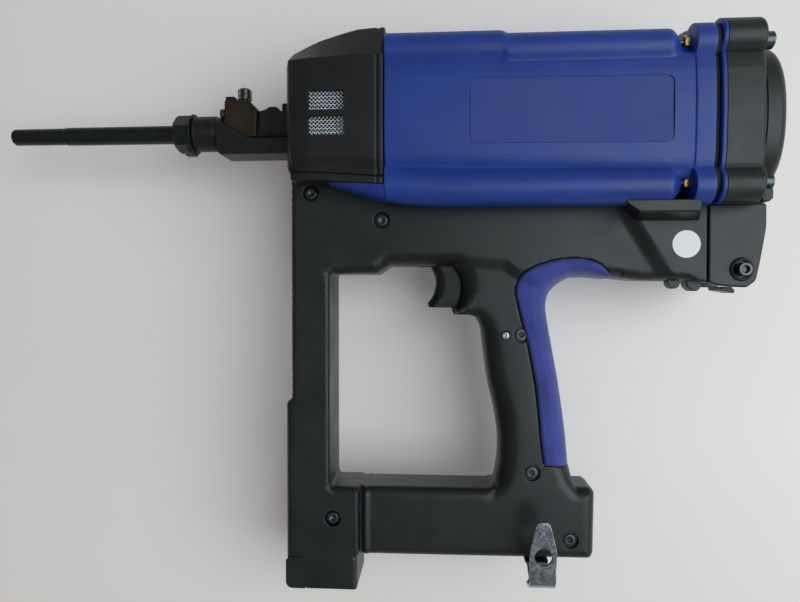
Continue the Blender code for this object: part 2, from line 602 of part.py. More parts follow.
# ---------------------------------------------------------------- cylinder, piston, head, motor, fan
lathe(
    "cylinder",
    [(-22.0, 6.0), (-22.0, 34.0), (106.0, 34.0), (106.0, 42.4), (112.0, 42.4), (112.0, 30.0), (-17.8, 30.0), (-17.8, 6.0)],
    ALLOY, steps=24,
)
lathe("bumper", [(-17.4, 6.0), (-17.4, 27.0), (-8.0, 24.0), (-5.0, 18.0), (-5.0, 6.0)], SEAL, steps=20)
lathe(
    "piston",
    [(89.6, 0), (89.6, 20.0), (91.5, 28.8), (94.6, 28.8), (94.6, 26.4), (97.4, 26.4), (97.4, 28.8), (103.0, 28.8), (103.0, 0)],
    ALLOY, steps=24,
)
lathe("piston_ring", [(94.9, 26.7), (94.9, 29.6), (97.1, 29.6), (97.1, 26.7)], BRIGHT, steps=24)
rod("driver_blade", "X", (0.0, AXIS_Z), DRIVER_R, -164.0, 89.3, BRIGHT, 14)
head = lathe("cylinder_head", [(196.0, 3.0), (196.0, 42.4), (203.0, 42.4), (203.0, 48.9), (214.6, 48.9), (214.6, 3.0)], ALLOY, steps=28)
lathe("fan_motor", [(214.9, 4.0), (214.9, 16.5), (216.5, 17.5), (258.0, 17.5), (260.0, 15.0), (262.0, 6.0), (262.0, 0), (226.0, 0), (226.0, 4.0)],
      BRIGHT, steps=18)
fan = lathe("fan", [(184.0, 0), (184.0, 6.0), (192.5, 7.0), (192.5, 2.2), (223.0, 2.2), (223.0, 0)], BRIGHT, steps=18,
            origin=(190.0, 0.0, AXIS_Z))
for k in range(4):
    a = math.radians(90 * k + 20)
    blade = bmesh.new()
    points = []
    for r, w, shift in ((5.0, 3.0, 2.2), (36.0, 7.0, 3.2)):
        for s in (-1, 1):
            for t in (-0.5, 0.5):
                across = s * w
                x = 188.3 + s * shift + t * 1.1
                points.append(Vector((x, r * math.cos(a) - across * math.sin(a), AXIS_Z + r * math.sin(a) + across * math.cos(a))))
    v = [blade.verts.new(p) for p in points]
    for quad in ((0, 1, 3, 2), (4, 6, 7, 5), (0, 4, 5, 1), (2, 3, 7, 6), (0, 2, 6, 4), (1, 5, 7, 3)):
        blade.faces.new([v[j] for j in quad])
    boolean(fan, finish(f"fan_blade_{k}", blade, BRIGHT, helper=True), "UNION")
PLUG_Y, PLUG_Z = 21.0, AXIS_Z + 21.0
boolean(head, rod("plug_hole", "X", (PLUG_Y, PLUG_Z), 4.4, 190.0, 220.0, ALLOY, 14, helper=True))
boolean(head, rod("head_pipe_hole", "Z", (209.0, 0.0), 2.0, 270.0, 289.3, ALLOY, 9, helper=True))
lathe("spark_plug", [(194.8, 0), (194.8, 2.0), (198.0, 4.0), (212.0, 4.0), (212.0, 2.6), (228.0, 2.6), (228.0, 1.2), (234.0, 1.2), (234.0, 0)],
      CERAMIC, centre=(PLUG_Y, PLUG_Z), steps=14)

# ---------------------------------------------------------------- gas cell, valve and pipe
lathe(
    "fuel_cell", [(96.0, 0), (96.0, 6.0), (98.0, 12.5), (101.0, CELL_R), (213.0, CELL_R), (216.0, 12.5), (216.0, 0)],
    CELL, centre=(0.0, CELL_Z), steps=24,
)
lathe("fuel_valve", [(84.0, 0), (84.0, 5.2), (92.0, 5.2), (92.0, 3.0), (95.7, 3.0), (95.7, 0)], BRASS, centre=(0.0, CELL_Z), steps=14)
bm = bmesh.new()
path = [(83.6, 0, CELL_Z), (80.0, 0, CELL_Z)]
path += [(80.0 - 11.0 * math.sin(t), 0, CELL_Z + 11.0 - 11.0 * math.cos(t)) for t in (0.5, 1.0, math.pi / 2, 2.1, 2.6)]
path += [(80.0, 0, CELL_Z + 22.0), (204.0, 0, CELL_Z + 22.0)]
path += [(204.0 + 5.0 * math.sin(t), 0, CELL_Z + 27.0 - 5.0 * math.cos(t)) for t in (0.5, 1.0)]
path += [(209.0, 0, CELL_Z + 27.0), (209.0, 0, 286.0)]
tube_along(bm, path, 1.3, 6)
finish("fuel_line", bm, BRASS)

# ---------------------------------------------------------------- trigger group
trigger = prism(
    "trigger",
    [(38.5, 229.0), (41.2, 222.9), (42.2, 217.3), (41.2, 211.8), (39.4, 207.1), (36.3, 202.6), (36.9, 200.2), (66.0, 199.9), (66.0, 229.0)],
    -7.6, 7.6, BLACK, bevel=0.8, origin=(66.0, 0.0, 214.0),
)
spring("trigger_spring", 66.4, 80.2, 3.4, 0.5, 4, BRIGHT, (0.0, 214.0), 8, 4)
box("trigger_switch", (80.5, 95.0), (-7.5, 7.5), (205.5, 223.5), BLACK, bevel=0.6)

# ---------------------------------------------------------------- gas cell door, hinged at its lower rear
px, pz = DOOR_PIVOT
DOOR_SIDE = [
    (224.4, 218.0, 1), (237.5, 215.9, 0), (250.0, 215.3, 4), (255.4, 219.0, 4), (258.2, 231.0, 0), (262.2, 253.8, 6),
    (262.1, 270.0, 2), (224.4, 270.0, 1),
]
door = prism("fuel_door", rounded(DOOR_SIDE, 3), -SHELL_Y, SHELL_Y, BLACK, bevel=1.0, origin=(px, 0.0, pz))
DOOR_IN = [(220.0, 200.0), (252.5, 200.0), (252.5, 214.0), (258.4, 224.0), (255.2, 229.0), (259.0, 252.0), (258.9, 267.0), (220.0, 267.0)]
boolean(door, prism("door_inside", DOOR_IN, -SHELL_Y + 3.2, SHELL_Y - 3.2, BLACK, helper=True))
boolean(door, rod("door_pin_hole", "Y", (px, pz), 3.4, -30.0, 30.0, BLACK, 14, helper=True))
boolean(door, lathe("door_ring_left", [(-SHELL_Y - 1.6, 5.2), (-SHELL_Y - 1.6, 7.0), (-SHELL_Y + 1.0, 7.0), (-SHELL_Y + 1.0, 5.2)], BLACK, "Y",
                    (px, pz), 20, helper=True), "UNION")

bracket_points = [(196.0, 222.6), (196.0, 226.6), (225.0, 232.0), (px, pz + 8.6)]
bracket_points += [(px + 8.6 * math.cos(math.radians(a)), pz + 8.6 * math.sin(math.radians(a))) for a in range(60, -91, -30)]
bracket_points += [(222.4, pz - 8.2), (222.4, 222.6)]
hinge_bracket = prism("door_hinge_bracket", bracket_points, -16.0, 16.0, BLACK)
boolean(hinge_bracket, rod("bracket_pin_hole", "Y", (px, pz), 3.4, -30.0, 30.0, BLACK, 14, helper=True))
boolean(hinge_bracket, prism("bracket_cell_way", circle(0.0, CELL_Z, CELL_R + 1.4, 24), 190.0, 270.0, BLACK, "X", helper=True))
bolt = lathe(
    "door_bolt", [(-SHELL_Y - 3.2, 0), (-SHELL_Y - 3.2, 4.4), (-SHELL_Y - 0.3, 4.4), (-SHELL_Y - 0.3, 3.1), (SHELL_Y + 0.2, 3.1), (SHELL_Y + 0.2, 0)],
    STEEL, "Y", (px, pz), 16,
)
boolean(bolt, prism("door_bolt_socket", circle(px, pz, 2.2, 6), -30.0, -SHELL_Y - 0.9, STEEL, helper=True))
latch = box("door_latch", (236.4, 247.0), (-6.0, 6.0), (210.4, 213.4), BLACK, bevel=0.5)
boolean(latch, box("latch_stem", (238.5, 241.5), (-3.0, 3.0), (212.5, 220.5), BLACK, helper=True), "UNION")
boolean(hinge_bracket, box("latch_slot", (238.1, 245.9), (-3.4, 3.4), (212.0, 221.2), BLACK, helper=True))

# ---------------------------------------------------------------- battery, latch, electronics
box("battery_pack", (-60.2, -17.1), (-18.1, 18.1), (0.5, 42.6), BLACK, bevel=1.0)
prism("battery_latch", rounded([(-60.3, 0.8, 1), (-50.0, 0.8, 1), (-50.0, 22.4, 3.6), (-60.3, 22.4, 3.6)]), -24.8, -21.4, BLACK, bevel=0.4)
box("battery_terminal", (-50.0, -41.0), (-8.0, 8.0), (45.0, 49.0), BRASS, bevel=0.5)
box("control_board", (12.0, 96.0), (-0.8, 0.8), (36.0, 62.0), BOARD)
box("ignition_coil", (16.0, 60.0), (-14.0, -1.2), (38.0, 60.0), SEAL, bevel=1.0)

# ---------------------------------------------------------------- belt hook on the base bar
HOOK_T = 2.0
bm = bmesh.new()
path = [(-26.6, 50.0, 103.5, 121.5), (-26.6, 24.0, 104.0, 121.5)]
for k in range(1, 8):
    a = math.pi * k / 8
    path.append((-36.4 + 9.8 * math.cos(a), 24.0 - 9.8 * math.sin(a) * 0.75, 104.0, 121.5))
path += [(-46.2, 24.0, 104.2, 121.4), (-46.4, 44.0, 104.4, 121.8), (-46.8, 54.0, 107.4, 119.0), (-47.2, 58.6, 110.2, 116.4)]
rings = []
for i, (y, z, x0, x1) in enumerate(path):
    ay, az = path[max(i - 1, 0)][:2]
    by, bz = path[min(i + 1, len(path) - 1)][:2]
    run = Vector((by - ay, bz - az)).normalized() * (HOOK_T / 2)
    ny, nz = -run.y, run.x
    rings.append([bm.verts.new(p) for p in ((x0, y + ny, z + nz), (x1, y + ny, z + nz), (x1, y - ny, z - nz), (x0, y - ny, z - nz))])
for a, b in zip(rings, rings[1:]):
    ring_faces(bm, a, b)
bm.faces.new(rings[0])
bm.faces.new(rings[-1])
hook = finish("belt_hook", bm, BRIGHT)
boolean(hook, rod("hook_window", "Y", (113.0, 38.0), 6.3, -60.0, -40.0, BRIGHT, 20, helper=True))
boolean(hook, rod("hook_screw_hole", "Y", (113.0, 38.0), 2.4, -35.0, -20.0, BRIGHT, 10, helper=True))
screw = lathe(
    "hook_screw", [(-30.6, 0), (-30.6, 4.2), (-27.9, 4.2), (-27.9, 1.9), (-20.2, 1.9), (-20.2, 0)], BRIGHT, "Y", (113.0, 38.0), 14,
)
boolean(screw, prism("hook_screw_socket", circle(113.0, 38.0, 1.9, 6), -33.0, -29.2, BRIGHT, helper=True))
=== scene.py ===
"""Looks of the gas-actuated nail gun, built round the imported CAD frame. Lengths in the helpers are millimetres in the CAD frame."""

import math

import bmesh
import bpy
import numpy as np
from mathutils import Matrix, Vector
from mathutils.geometry import delaunay_2d_cdt, tessellate_polygon


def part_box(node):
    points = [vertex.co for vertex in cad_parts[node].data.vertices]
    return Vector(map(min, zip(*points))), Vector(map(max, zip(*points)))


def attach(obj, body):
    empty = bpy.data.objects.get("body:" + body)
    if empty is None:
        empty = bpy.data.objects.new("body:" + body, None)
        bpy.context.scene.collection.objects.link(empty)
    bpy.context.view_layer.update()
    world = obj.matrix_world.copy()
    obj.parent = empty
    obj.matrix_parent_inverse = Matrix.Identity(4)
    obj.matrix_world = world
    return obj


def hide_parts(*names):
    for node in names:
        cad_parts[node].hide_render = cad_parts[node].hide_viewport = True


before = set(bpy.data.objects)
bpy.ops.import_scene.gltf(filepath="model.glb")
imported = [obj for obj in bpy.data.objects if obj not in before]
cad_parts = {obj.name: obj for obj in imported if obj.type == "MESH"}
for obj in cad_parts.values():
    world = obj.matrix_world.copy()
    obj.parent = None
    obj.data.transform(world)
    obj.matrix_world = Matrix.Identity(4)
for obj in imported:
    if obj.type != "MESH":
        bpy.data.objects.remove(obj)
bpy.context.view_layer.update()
MM = 0.001


def mm_box(node):
    lo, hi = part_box(node)
    return [c / MM for c in lo], [c / MM for c in hi]


TUBE_LO, TUBE_HI = mm_box("muzzle_tube")
AXIS = (TUBE_LO[2] + TUBE_HI[2]) / 2
HOUSE_LO, HOUSE_HI = mm_box("main_housing")
COVER_LO, COVER_HI = mm_box("rear_cover")
DOME_LO, DOME_HI = mm_box("motor_cover")
DOOR_LO, DOOR_HI = mm_box("fuel_door")

# ------------------------------------------------------------------ materials
LINKS = {}


class Graph:
    """Small helper that adds nodes to one material and links them."""

    def __init__(self, name):
        self.mat = bpy.data.materials.new(name)
        self.mat.use_nodes = True
        self.tree = self.mat.node_tree
        self.tree.nodes.clear()
        self.out = self.add("ShaderNodeOutputMaterial")
        self.bsdf = self.add("ShaderNodeBsdfPrincipled")
        self.link(self.bsdf.outputs["BSDF"], self.out.inputs["Surface"])
        coord = self.add("ShaderNodeTexCoord")
        scale = self.add("ShaderNodeVectorMath")
        scale.operation = "SCALE"
        scale.inputs["Scale"].default_value = 1000.0
        self.link(coord.outputs["Object"], scale.inputs[0])
        self.coord = scale.outputs[0]

    def add(self, kind):
        return self.tree.nodes.new(kind)

    def link(self, a, b):
        self.tree.links.new(a, b)

    def stretch(self, sx, sy, sz):
        node = self.add("ShaderNodeVectorMath")
        node.operation = "MULTIPLY"
        node.inputs[1].default_value = (sx, sy, sz)
        self.link(self.coord, node.inputs[0])
        return node.outputs[0]

    def noise(self, scale, detail=3.0, rough=0.55, vector=None, distortion=0.0):
        node = self.add("ShaderNodeTexNoise")
        node.inputs["Scale"].default_value = scale
        node.inputs["Detail"].default_value = detail
        node.inputs["Roughness"].default_value = rough
        node.inputs["Distortion"].default_value = distortion
        self.link(vector or self.coord, node.inputs["Vector"])
        return node.outputs["Fac"]

    def cells(self, scale, vector=None, feature="F1"):
        node = self.add("ShaderNodeTexVoronoi")
        node.feature = feature
        node.inputs["Scale"].default_value = scale
        self.link(vector or self.coord, node.inputs["Vector"])
        return node

    def span(self, value, lo, hi, out_lo=0.0, out_hi=1.0):
        node = self.add("ShaderNodeMapRange")
        node.inputs["From Min"].default_value = lo
        node.inputs["From Max"].default_value = hi
        node.inputs["To Min"].default_value = out_lo
        node.inputs["To Max"].default_value = out_hi
        self.link(value, node.inputs["Value"])
        return node.outputs["Result"]

    def math(self, op, a, b):
        node = self.add("ShaderNodeMath")
        node.operation = op
        for socket, value in zip(node.inputs, (a, b)):
            if isinstance(value, (int, float)):
                socket.default_value = value
            else:
                self.link(value, socket)
        return node.outputs[0]

    def mix(self, factor, a, b):
        node = self.add("ShaderNodeMix")
        node.data_type = "RGBA"
        for index, value in ((0, factor), (6, a), (7, b)):
            socket = node.inputs[index]
            if isinstance(value, (int, float)):
                socket.default_value = value
            elif isinstance(value, (tuple, list)):
                socket.default_value = (*value, 1.0)
            else:
                self.link(value, socket)
        return node.outputs[2]

    def edges(self, radius_mm=0.7, samples=4):
        """1 on convex and concave edges, 0 on flats."""
        bevel = self.add("ShaderNodeBevel")
        bevel.samples = samples
        bevel.inputs["Radius"].default_value = radius_mm * MM
        geometry = self.add("ShaderNodeNewGeometry")
        dot = self.add("ShaderNodeVectorMath")
        dot.operation = "DOT_PRODUCT"
        self.link(bevel.outputs[0], dot.inputs[0])
        self.link(geometry.outputs["Normal"], dot.inputs[1])
        return self.span(dot.outputs["Value"], 0.995, 0.90)

    def bump(self, heights):
        """Adds up (height socket, distance in mm, strength)."""
        last = None
        for height, distance, strength in heights:
            node = self.add("ShaderNodeBump")
            node.inputs["Distance"].default_value = distance * MM
            node.inputs["Strength"].default_value = strength
            self.link(height, node.inputs["Height"])
            if last is not None:
                self.link(last, node.inputs["Normal"])
            last = node.outputs["Normal"]
        self.link(last, self.bsdf.inputs["Normal"])

    def set(self, **values):
        for name, value in values.items():
            socket = self.bsdf.inputs[name.replace("_", " ")]
            if isinstance(value, (int, float)):
                socket.default_value = value
            elif isinstance(value, (tuple, list)):
                socket.default_value = (*value, 1.0)
            else:
                self.link(value, socket)


def tinted(color, k):
    return tuple(min(1.0, c * k) for c in color)


def moulded(name, color, rough, worn, grain=0.35, edge_lightening=0.5, spread=0.22, coat=0.0):
    """Moulded plastic: fine spark-eroded grain, cloudy colour, scuffs, and paler edges that are part real wear and part
    painted highlight.
    """
    g = Graph(name)
    cloud = g.noise(0.035, 3.0, 0.6)
    base = g.mix(g.span(cloud, 0.3, 0.7), tinted(color, 1.0 - spread), tinted(color, 1.0 + spread))
    dust = g.noise(0.9, 5.0, 0.75)
    base = g.mix(g.span(dust, 0.6, 0.85, 0.0, 0.28), base, worn)
    scratch = g.noise(1.0, 6.0, 0.7, g.stretch(0.05, 0.4, 1.6), 0.4)
    scratch_mask = g.span(scratch, 0.66, 0.74, 0.0, 0.3)
    base = g.mix(scratch_mask, base, worn)
    # paler edges: part real wear, part painted highlight lines along the edges
    edge = g.edges()
    rub = g.span(g.noise(0.12, 4.0, 0.65), 0.35, 0.65)
    base = g.mix(g.math("MULTIPLY", g.math("MULTIPLY", edge, rub), edge_lightening), base, worn)
    g.set(Base_Color=base, Metallic=0.0)
    finish = g.span(cloud, 0.3, 0.7, rough - 0.05, rough + 0.07)
    finish = g.math("ADD", finish, g.span(dust, 0.45, 0.8, 0.0, 0.12))
    g.set(Roughness=finish, IOR=1.48, Coat_Weight=coat)
    pits = g.cells(3.2)
    g.bump([(pits.outputs["Distance"], 0.05, grain), (g.noise(0.05, 2.0), 0.6, 0.05), (scratch, 0.05, 0.10)])
    return g.mat


def rubber(name, color, pale):
    """Blue grip rubber: small raised pebbles, pale specks in the rubbed middle, darker in the hollows."""
    g = Graph(name)
    pebble = g.cells(1.15)
    tops = g.span(pebble.outputs["Distance"], 0.55, 0.12)
    cloud = g.noise(0.045, 4.0, 0.6)
    base = g.mix(g.span(cloud, 0.3, 0.7), tinted(color, 0.85), tinted(color, 1.22))
    speck = g.noise(1.6, 5.0, 0.8)
    base = g.mix(g.math("MULTIPLY", g.span(speck, 0.5, 0.72), g.span(cloud, 0.36, 0.62, 0.15, 0.75)), base, pale)
    base = g.mix(g.math("MULTIPLY", tops, 0.18), base, pale)
    g.set(Base_Color=base, Roughness=g.span(speck, 0.3, 0.7, 0.62, 0.82), Sheen_Weight=0.25, Sheen_Roughness=0.5)
    g.bump([(tops, 0.16, 0.5), (speck, 0.08, 0.35)])
    return g.mat


def steel(name, color, rough, worn, metallic=0.85, edge_lightening=0.45, grain=(0.06, 1.4, 1.4), spots=0.2):
    """Oxidised or plated steel: grinding lines along one axis, blotches and bare metal on the edges."""
    g = Graph(name)
    blotch = g.noise(0.16, 5.0, 0.65)
    base = g.mix(g.span(blotch, 0.3, 0.7), tinted(color, 1.0 - spots), tinted(color, 1.0 + spots))
    lines = g.noise(2.2, 4.0, 0.6, g.stretch(*grain))
    base = g.mix(g.span(lines, 0.55, 0.8, 0.0, 0.25), base, worn)
    edge = g.edges(0.5)
    chip = g.span(g.noise(0.5, 5.0, 0.7), 0.4, 0.62)
    base = g.mix(g.math("MULTIPLY", g.math("MULTIPLY", edge, chip), edge_lightening), base, worn)
    g.set(Base_Color=base, Metallic=metallic, Roughness=g.math("ADD", g.span(blotch, 0.3, 0.7, rough - 0.05, rough + 0.1), g.span(lines, 0.4, 0.8, 0.0, 0.08)))
    g.bump([(lines, 0.03, 0.25), (blotch, 0.1, 0.06)])
    return g.mat


def spangled(name, dark, light, rough):
    """Bright plated strip with soft cloudy plating flowers."""
    g = Graph(name)
    flower = g.cells(0.55, g.coord)
    cloud = g.noise(0.3, 5.0, 0.7, distortion=1.2)
    mix = g.math("MULTIPLY", g.span(cloud, 0.35, 0.65), 1.0)
    base = g.mix(mix, dark, light)
    g.set(Base_Color=base, Metallic=1.0)
    g.set(Roughness=g.math("ADD", g.span(cloud, 0.3, 0.7, rough, rough + 0.16), g.span(flower.outputs["Distance"], 0.2, 0.9, 0.0, 0.08)))
    g.bump([(cloud, 0.05, 0.12), (g.noise(3.0, 3.0, 0.6, g.stretch(1.0, 1.0, 0.1)), 0.02, 0.2)])
    return g.mat


def plain(name, color, rough, metallic=0.0, scale=0.4, amount=0.15, bump=0.2):
    """Simple part: cloudy colour and roughness with a fine surface grain."""
    g = Graph(name)
    cloud = g.noise(scale, 4.0, 0.6)
    base = g.mix(g.span(cloud, 0.3, 0.7), tinted(color, 1.0 - amount), tinted(color, 1.0 + amount))
    g.set(Base_Color=base, Metallic=metallic, Roughness=g.span(cloud, 0.3, 0.7, max(rough - 0.06, 0.05), rough + 0.08))
    g.bump([(g.noise(4.0, 3.0), 0.02, bump)])
    return g.mat


BLACK = moulded("black_plastic", (0.0100, 0.0135, 0.0145), 0.37, (0.043, 0.052, 0.056))
SHROUD_BLACK = moulded("shroud_plastic", (0.0035, 0.0052, 0.0052), 0.42, (0.035, 0.04, 0.04), edge_lightening=0.65)
COVER_BLACK = moulded("cover_plastic", (0.0120, 0.0155, 0.0165), 0.40, (0.05, 0.056, 0.056), edge_lightening=0.6)
BLUE = moulded("blue_housing", (0.0125, 0.047, 0.285), 0.40, (0.06, 0.12, 0.42), grain=0.2, edge_lightening=0.45, spread=0.12)
PANEL = moulded("blue_panel", (0.025, 0.054, 0.275), 0.55, (0.08, 0.11, 0.32), grain=0.5, edge_lightening=0.2, spread=0.05)
GRIP = rubber("blue_rubber", (0.022, 0.034, 0.25), (0.15, 0.18, 0.46))
SEAL = moulded("black_rubber", (0.008, 0.008, 0.009), 0.7, (0.03, 0.03, 0.03))
DARK_STEEL = steel("black_steel", (0.026, 0.031, 0.031), 0.36, (0.16, 0.17, 0.17), 0.75)
CASTING = steel("black_casting", (0.022, 0.0255, 0.0255), 0.42, (0.12, 0.13, 0.13), 0.6)
BRONZE = steel("bronze_plate", (0.046, 0.029, 0.020), 0.40, (0.13, 0.09, 0.065), 0.55)
SCREW = steel("screw_steel", (0.085, 0.09, 0.095), 0.22, (0.35, 0.36, 0.37), 0.9, edge_lightening=0.9)
BRIGHT = steel("bright_steel", (0.42, 0.43, 0.45), 0.28, (0.7, 0.7, 0.72), 1.0)
CHROME = spangled("bright_plating", (0.16, 0.19, 0.22), (0.50, 0.55, 0.62), 0.05)
WIRE = plain("screen_wire", (0.80, 0.82, 0.92), 0.3, 0.85, 1.2)
ALLOY = steel("cast_alloy", (0.42, 0.42, 0.43), 0.42, (0.6, 0.6, 0.6), 1.0)
BRASS = steel("brass", (0.42, 0.28, 0.10), 0.3, (0.75, 0.6, 0.3), 1.0)
LABEL = plain("label_vinyl", (0.93, 0.93, 0.94), 0.38, 0.0, 0.2, 0.02, 0.1)
CERAMIC = plain("ceramic", (0.72, 0.70, 0.66), 0.25, 0.0)
BOARD = plain("circuit_board", (0.02, 0.11, 0.045), 0.45, 0.0, 1.5, 0.3)
CELL = plain("gas_can", (0.62, 0.62, 0.62), 0.3, 0.9)
SLEEVE = plain("sleeve_coating", (0.02, 0.02, 0.021), 0.4, 0.3)
INNER = plain("inner_plastic", (0.05, 0.055, 0.06), 0.5)

# ------------------------------------------------------------------ mesh helpers


def finish(name, bm, mat, body="root", slot=None, replaces=(), sharp=34.0, weighted=True, ride=True):
    """Turns a bmesh in millimetres into a piece in metres."""
    bmesh.ops.remove_doubles(bm, verts=bm.verts[:], dist=1e-4)
    bmesh.ops.recalc_face_normals(bm, faces=bm.faces[:])
    bmesh.ops.scale(bm, vec=(MM, MM, MM), verts=bm.verts[:])
    mesh = bpy.data.meshes.new(name)
    bm.to_mesh(mesh)
    bm.free()
    obj = bpy.data.objects.new(name, mesh)
    bpy.context.scene.collection.objects.link(obj)
    if mat:
        mesh.materials.append(mat)
    if ride:
        settle(obj, body, slot, replaces, sharp, weighted)
    return obj


def settle(obj, body, slot=None, replaces=(), sharp=34.0, weighted=True):
    obj.data.shade_smooth()
    obj.data.set_sharp_from_angle(angle=math.radians(sharp))
    if weighted:
        modifier = obj.modifiers.new("weighted_normals", "WEIGHTED_NORMAL")
        modifier.keep_sharp = True
        modifier.weight = 70
    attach(obj, body)
    if replaces:
        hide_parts(*replaces)
    return obj


def boolean(obj, cutter, operation="DIFFERENCE", solver="MANIFOLD", keep=False):
    modifier = obj.modifiers.new("cut", "BOOLEAN")
    modifier.operation = operation
    modifier.solver = solver
    modifier.object = cutter
    graph = bpy.context.evaluated_depsgraph_get()
    mesh = bpy.data.meshes.new_from_object(obj.evaluated_get(graph))
    obj.modifiers.remove(modifier)
    old = obj.data
    mats = [m for m in old.materials]
    obj.data = mesh
    if not mesh.materials:
        for m in mats:
            mesh.materials.append(m)
    for p in mesh.polygons:
        p.material_index = 0
    while len(mesh.materials) > 1:
        mesh.materials.pop(index=len(mesh.materials) - 1)
    bpy.data.meshes.remove(old)
    if not keep:
        bpy.data.objects.remove(cutter)
    return obj


def ring_faces(bm, a, b):
    n = len(a)
    for i in range(n):
        bm.faces.new((a[i], a[(i + 1) % n], b[(i + 1) % n], b[i]))


def cap(bm, loops):
    verts = [v for loop in loops for v in loop]
    for tri in tessellate_polygon([[v.co for v in loop] for loop in loops]):
        if len(set(tri)) == 3:
            bm.faces.new([verts[i] for i in tri])


def circle(cx, cy, r, steps, start=0.0):
    return [(cx + r * math.cos(start + 2 * math.pi * i / steps), cy + r * math.sin(start + 2 * math.pi * i / steps)) for i in range(steps)]


def offset_corners(corners, d, grow=False):
    area = sum(a[0] * b[1] - b[0] * a[1] for a, b in zip(corners, corners[1:] + corners[:1]))
    turn = 1.0 if area > 0 else -1.0
    side = turn * (-d if grow else d)
    moved = []
    for i, (x, z, r) in enumerate(corners):
        px, pz, _ = corners[i - 1]
        nx, nz, _ = corners[(i + 1) % len(corners)]
        a = Vector((x - px, z - pz)).normalized()
        b = Vector((nx - x, nz - z)).normalized()
        na, nb = Vector((-a.y, a.x)), Vector((-b.y, b.x))
        k = side / max(1.0 + na.dot(nb), 0.2)
        cross = a.x * b.y - a.y * b.x
        convex = (cross * turn > 0) != grow
        radius = 0.0 if r == 0 else (max(r - d, 0.15) if convex else r + d)
        moved.append((x + (na.x + nb.x) * k, z + (na.y + nb.y) * k, radius))
    return moved


def rounded(corners, steps=6, closed=True, even=False):
    """Points of a polygon, or of an open line, whose corners carry their own radius."""
    points = []
    n = len(corners)
    for i, (x, z, r) in enumerate(corners):
        if r == 0 or (not closed and i in (0, n - 1)):
            points.append((x, z))
            continue
        here = Vector((x, z))
        before = Vector(corners[i - 1][:2]) - here
        after = Vector(corners[(i + 1) % n][:2]) - here
        la, lb = before.length, after.length
        before.normalize()
        after.normalize()
        angle = math.acos(max(-1.0, min(1.0, before.dot(after))))
        if math.pi - angle < 0.02:
            # "even" keeps the number of points the same from ring to ring
            spots = [here + after * (0.4 * k / steps - 0.2) for k in range(steps + 1)] if even else [here]
            points.extend((spot.x, spot.y) for spot in spots)
            continue
        reach = min(r / math.tan(angle / 2), 0.48 * la, 0.48 * lb)
        radius = reach * math.tan(angle / 2)
        centre = here + (before + after).normalized() * (radius / math.sin(angle / 2))
        start, end = here + before * reach - centre, here + after * reach - centre
        a0 = math.atan2(start.y, start.x)
        sweep = (math.atan2(end.y, end.x) - a0 + math.pi) % (2 * math.pi) - math.pi
        for k in range(steps + 1):
            a = a0 + sweep * k / steps
            points.append((centre.x + radius * math.cos(a), centre.y + radius * math.sin(a)))
    return points


PLACE = {"Y": lambda p, t: (p[0], t, p[1]), "X": lambda p, t: (t, p[0], p[1]), "Z": lambda p, t: (p[0], p[1], t)}


def fillet(r, steps):
    if r <= 0:
        return [(0.0, 0.0)]
    return [(r * (1 - math.cos(t)), r * (1 - math.sin(t))) for t in (math.pi / 2 * k / steps for k in range(steps + 1))]


def add_slab(bm, corners, lo, hi, r_lo=0.5, r_hi=0.5, axis="Y", corner_steps=6, steps=3):
    """A flat piece with rounded corners and rounded edges on its two faces."""
    corners = [c if len(c) == 3 else (*c, 0.0) for c in corners]
    levels = [(inset, lo + drop) for inset, drop in reversed(fillet(r_lo, steps))]
    levels += [(inset, hi - drop) for inset, drop in fillet(r_hi, steps)]
    rings = []
    for inset, t in levels:
        loop = rounded(offset_corners(corners, inset) if inset else corners, corner_steps)
        rings.append([bm.verts.new(PLACE[axis](p, t)) for p in loop])
    for a, b in zip(rings, rings[1:]):
        ring_faces(bm, a, b)
    cap(bm, [rings[0]])
    cap(bm, [rings[-1]])


def slab(name, corners, lo, hi, mat, r_lo=0.5, r_hi=0.5, axis="Y", corner_steps=6, steps=3, **kw):
    bm = bmesh.new()
    add_slab(bm, corners, lo, hi, r_lo, r_hi, axis, corner_steps, steps)
    return finish(name, bm, mat, **kw)


def rect(a0, a1, b0, b1, r=0.0):
    return [(a0, b0, r), (a1, b0, r), (a1, b1, r), (a0, b1, r)]


def hexagon(angle, flat, turn=0.0):
    a = (angle + turn + math.pi / 6) % (math.pi / 3) - math.pi / 6
    return flat / math.cos(a)


def add_turned(bm, profile, axis="X", centre=(0.0, 0.0), steps=64, turn=0.0, closed=False, corner_steps=5):
    """Turns a line of (along, radius, corner radius[, 'hex']) round an axis. A line that starts and ends at radius 0 is solid."""
    hexes = {i for i, p in enumerate(profile) if len(p) > 3}
    flat = []
    marks = []
    n = len(profile)
    for i, p in enumerate(profile):
        if i in hexes or p[2] == 0 or (not closed and i in (0, n - 1)):
            flat.append((p[0], p[1]))
            marks.append(i in hexes)
            continue
        trio = [(*profile[i - 1][:2], 0), (p[0], p[1], p[2]), (*profile[(i + 1) % n][:2], 0)]
        arc = rounded(trio, corner_steps, closed=False)[1:-1]
        flat += arc
        marks += [False] * len(arc)
    rings = []
    for (along, r), is_hex in zip(flat, marks):
        ring = []
        for i in range(1 if r < 1e-6 else steps):
            a = turn + 2 * math.pi * i / steps
            rr = hexagon(a - turn, r) if is_hex else r
            u, v = centre[0] + rr * math.cos(a), centre[1] + rr * math.sin(a)
            ring.append(bm.verts.new({"X": (along, u, v), "Y": (u, along, v), "Z": (u, v, along)}[axis]))
        rings.append(ring)
    pairs = list(zip(rings, rings[1:])) + ([(rings[-1], rings[0])] if closed else [])
    for a, b in pairs:
        if len(a) == 1 and len(b) == 1:
            continue
        for i in range(steps):
            j = (i + 1) % steps
            kept = []
            for corner in (a[i % len(a)], a[j % len(a)], b[j % len(b)], b[i % len(b)]):
                if corner not in kept:
                    kept.append(corner)
            if len(kept) > 2:
                bm.faces.new(kept)


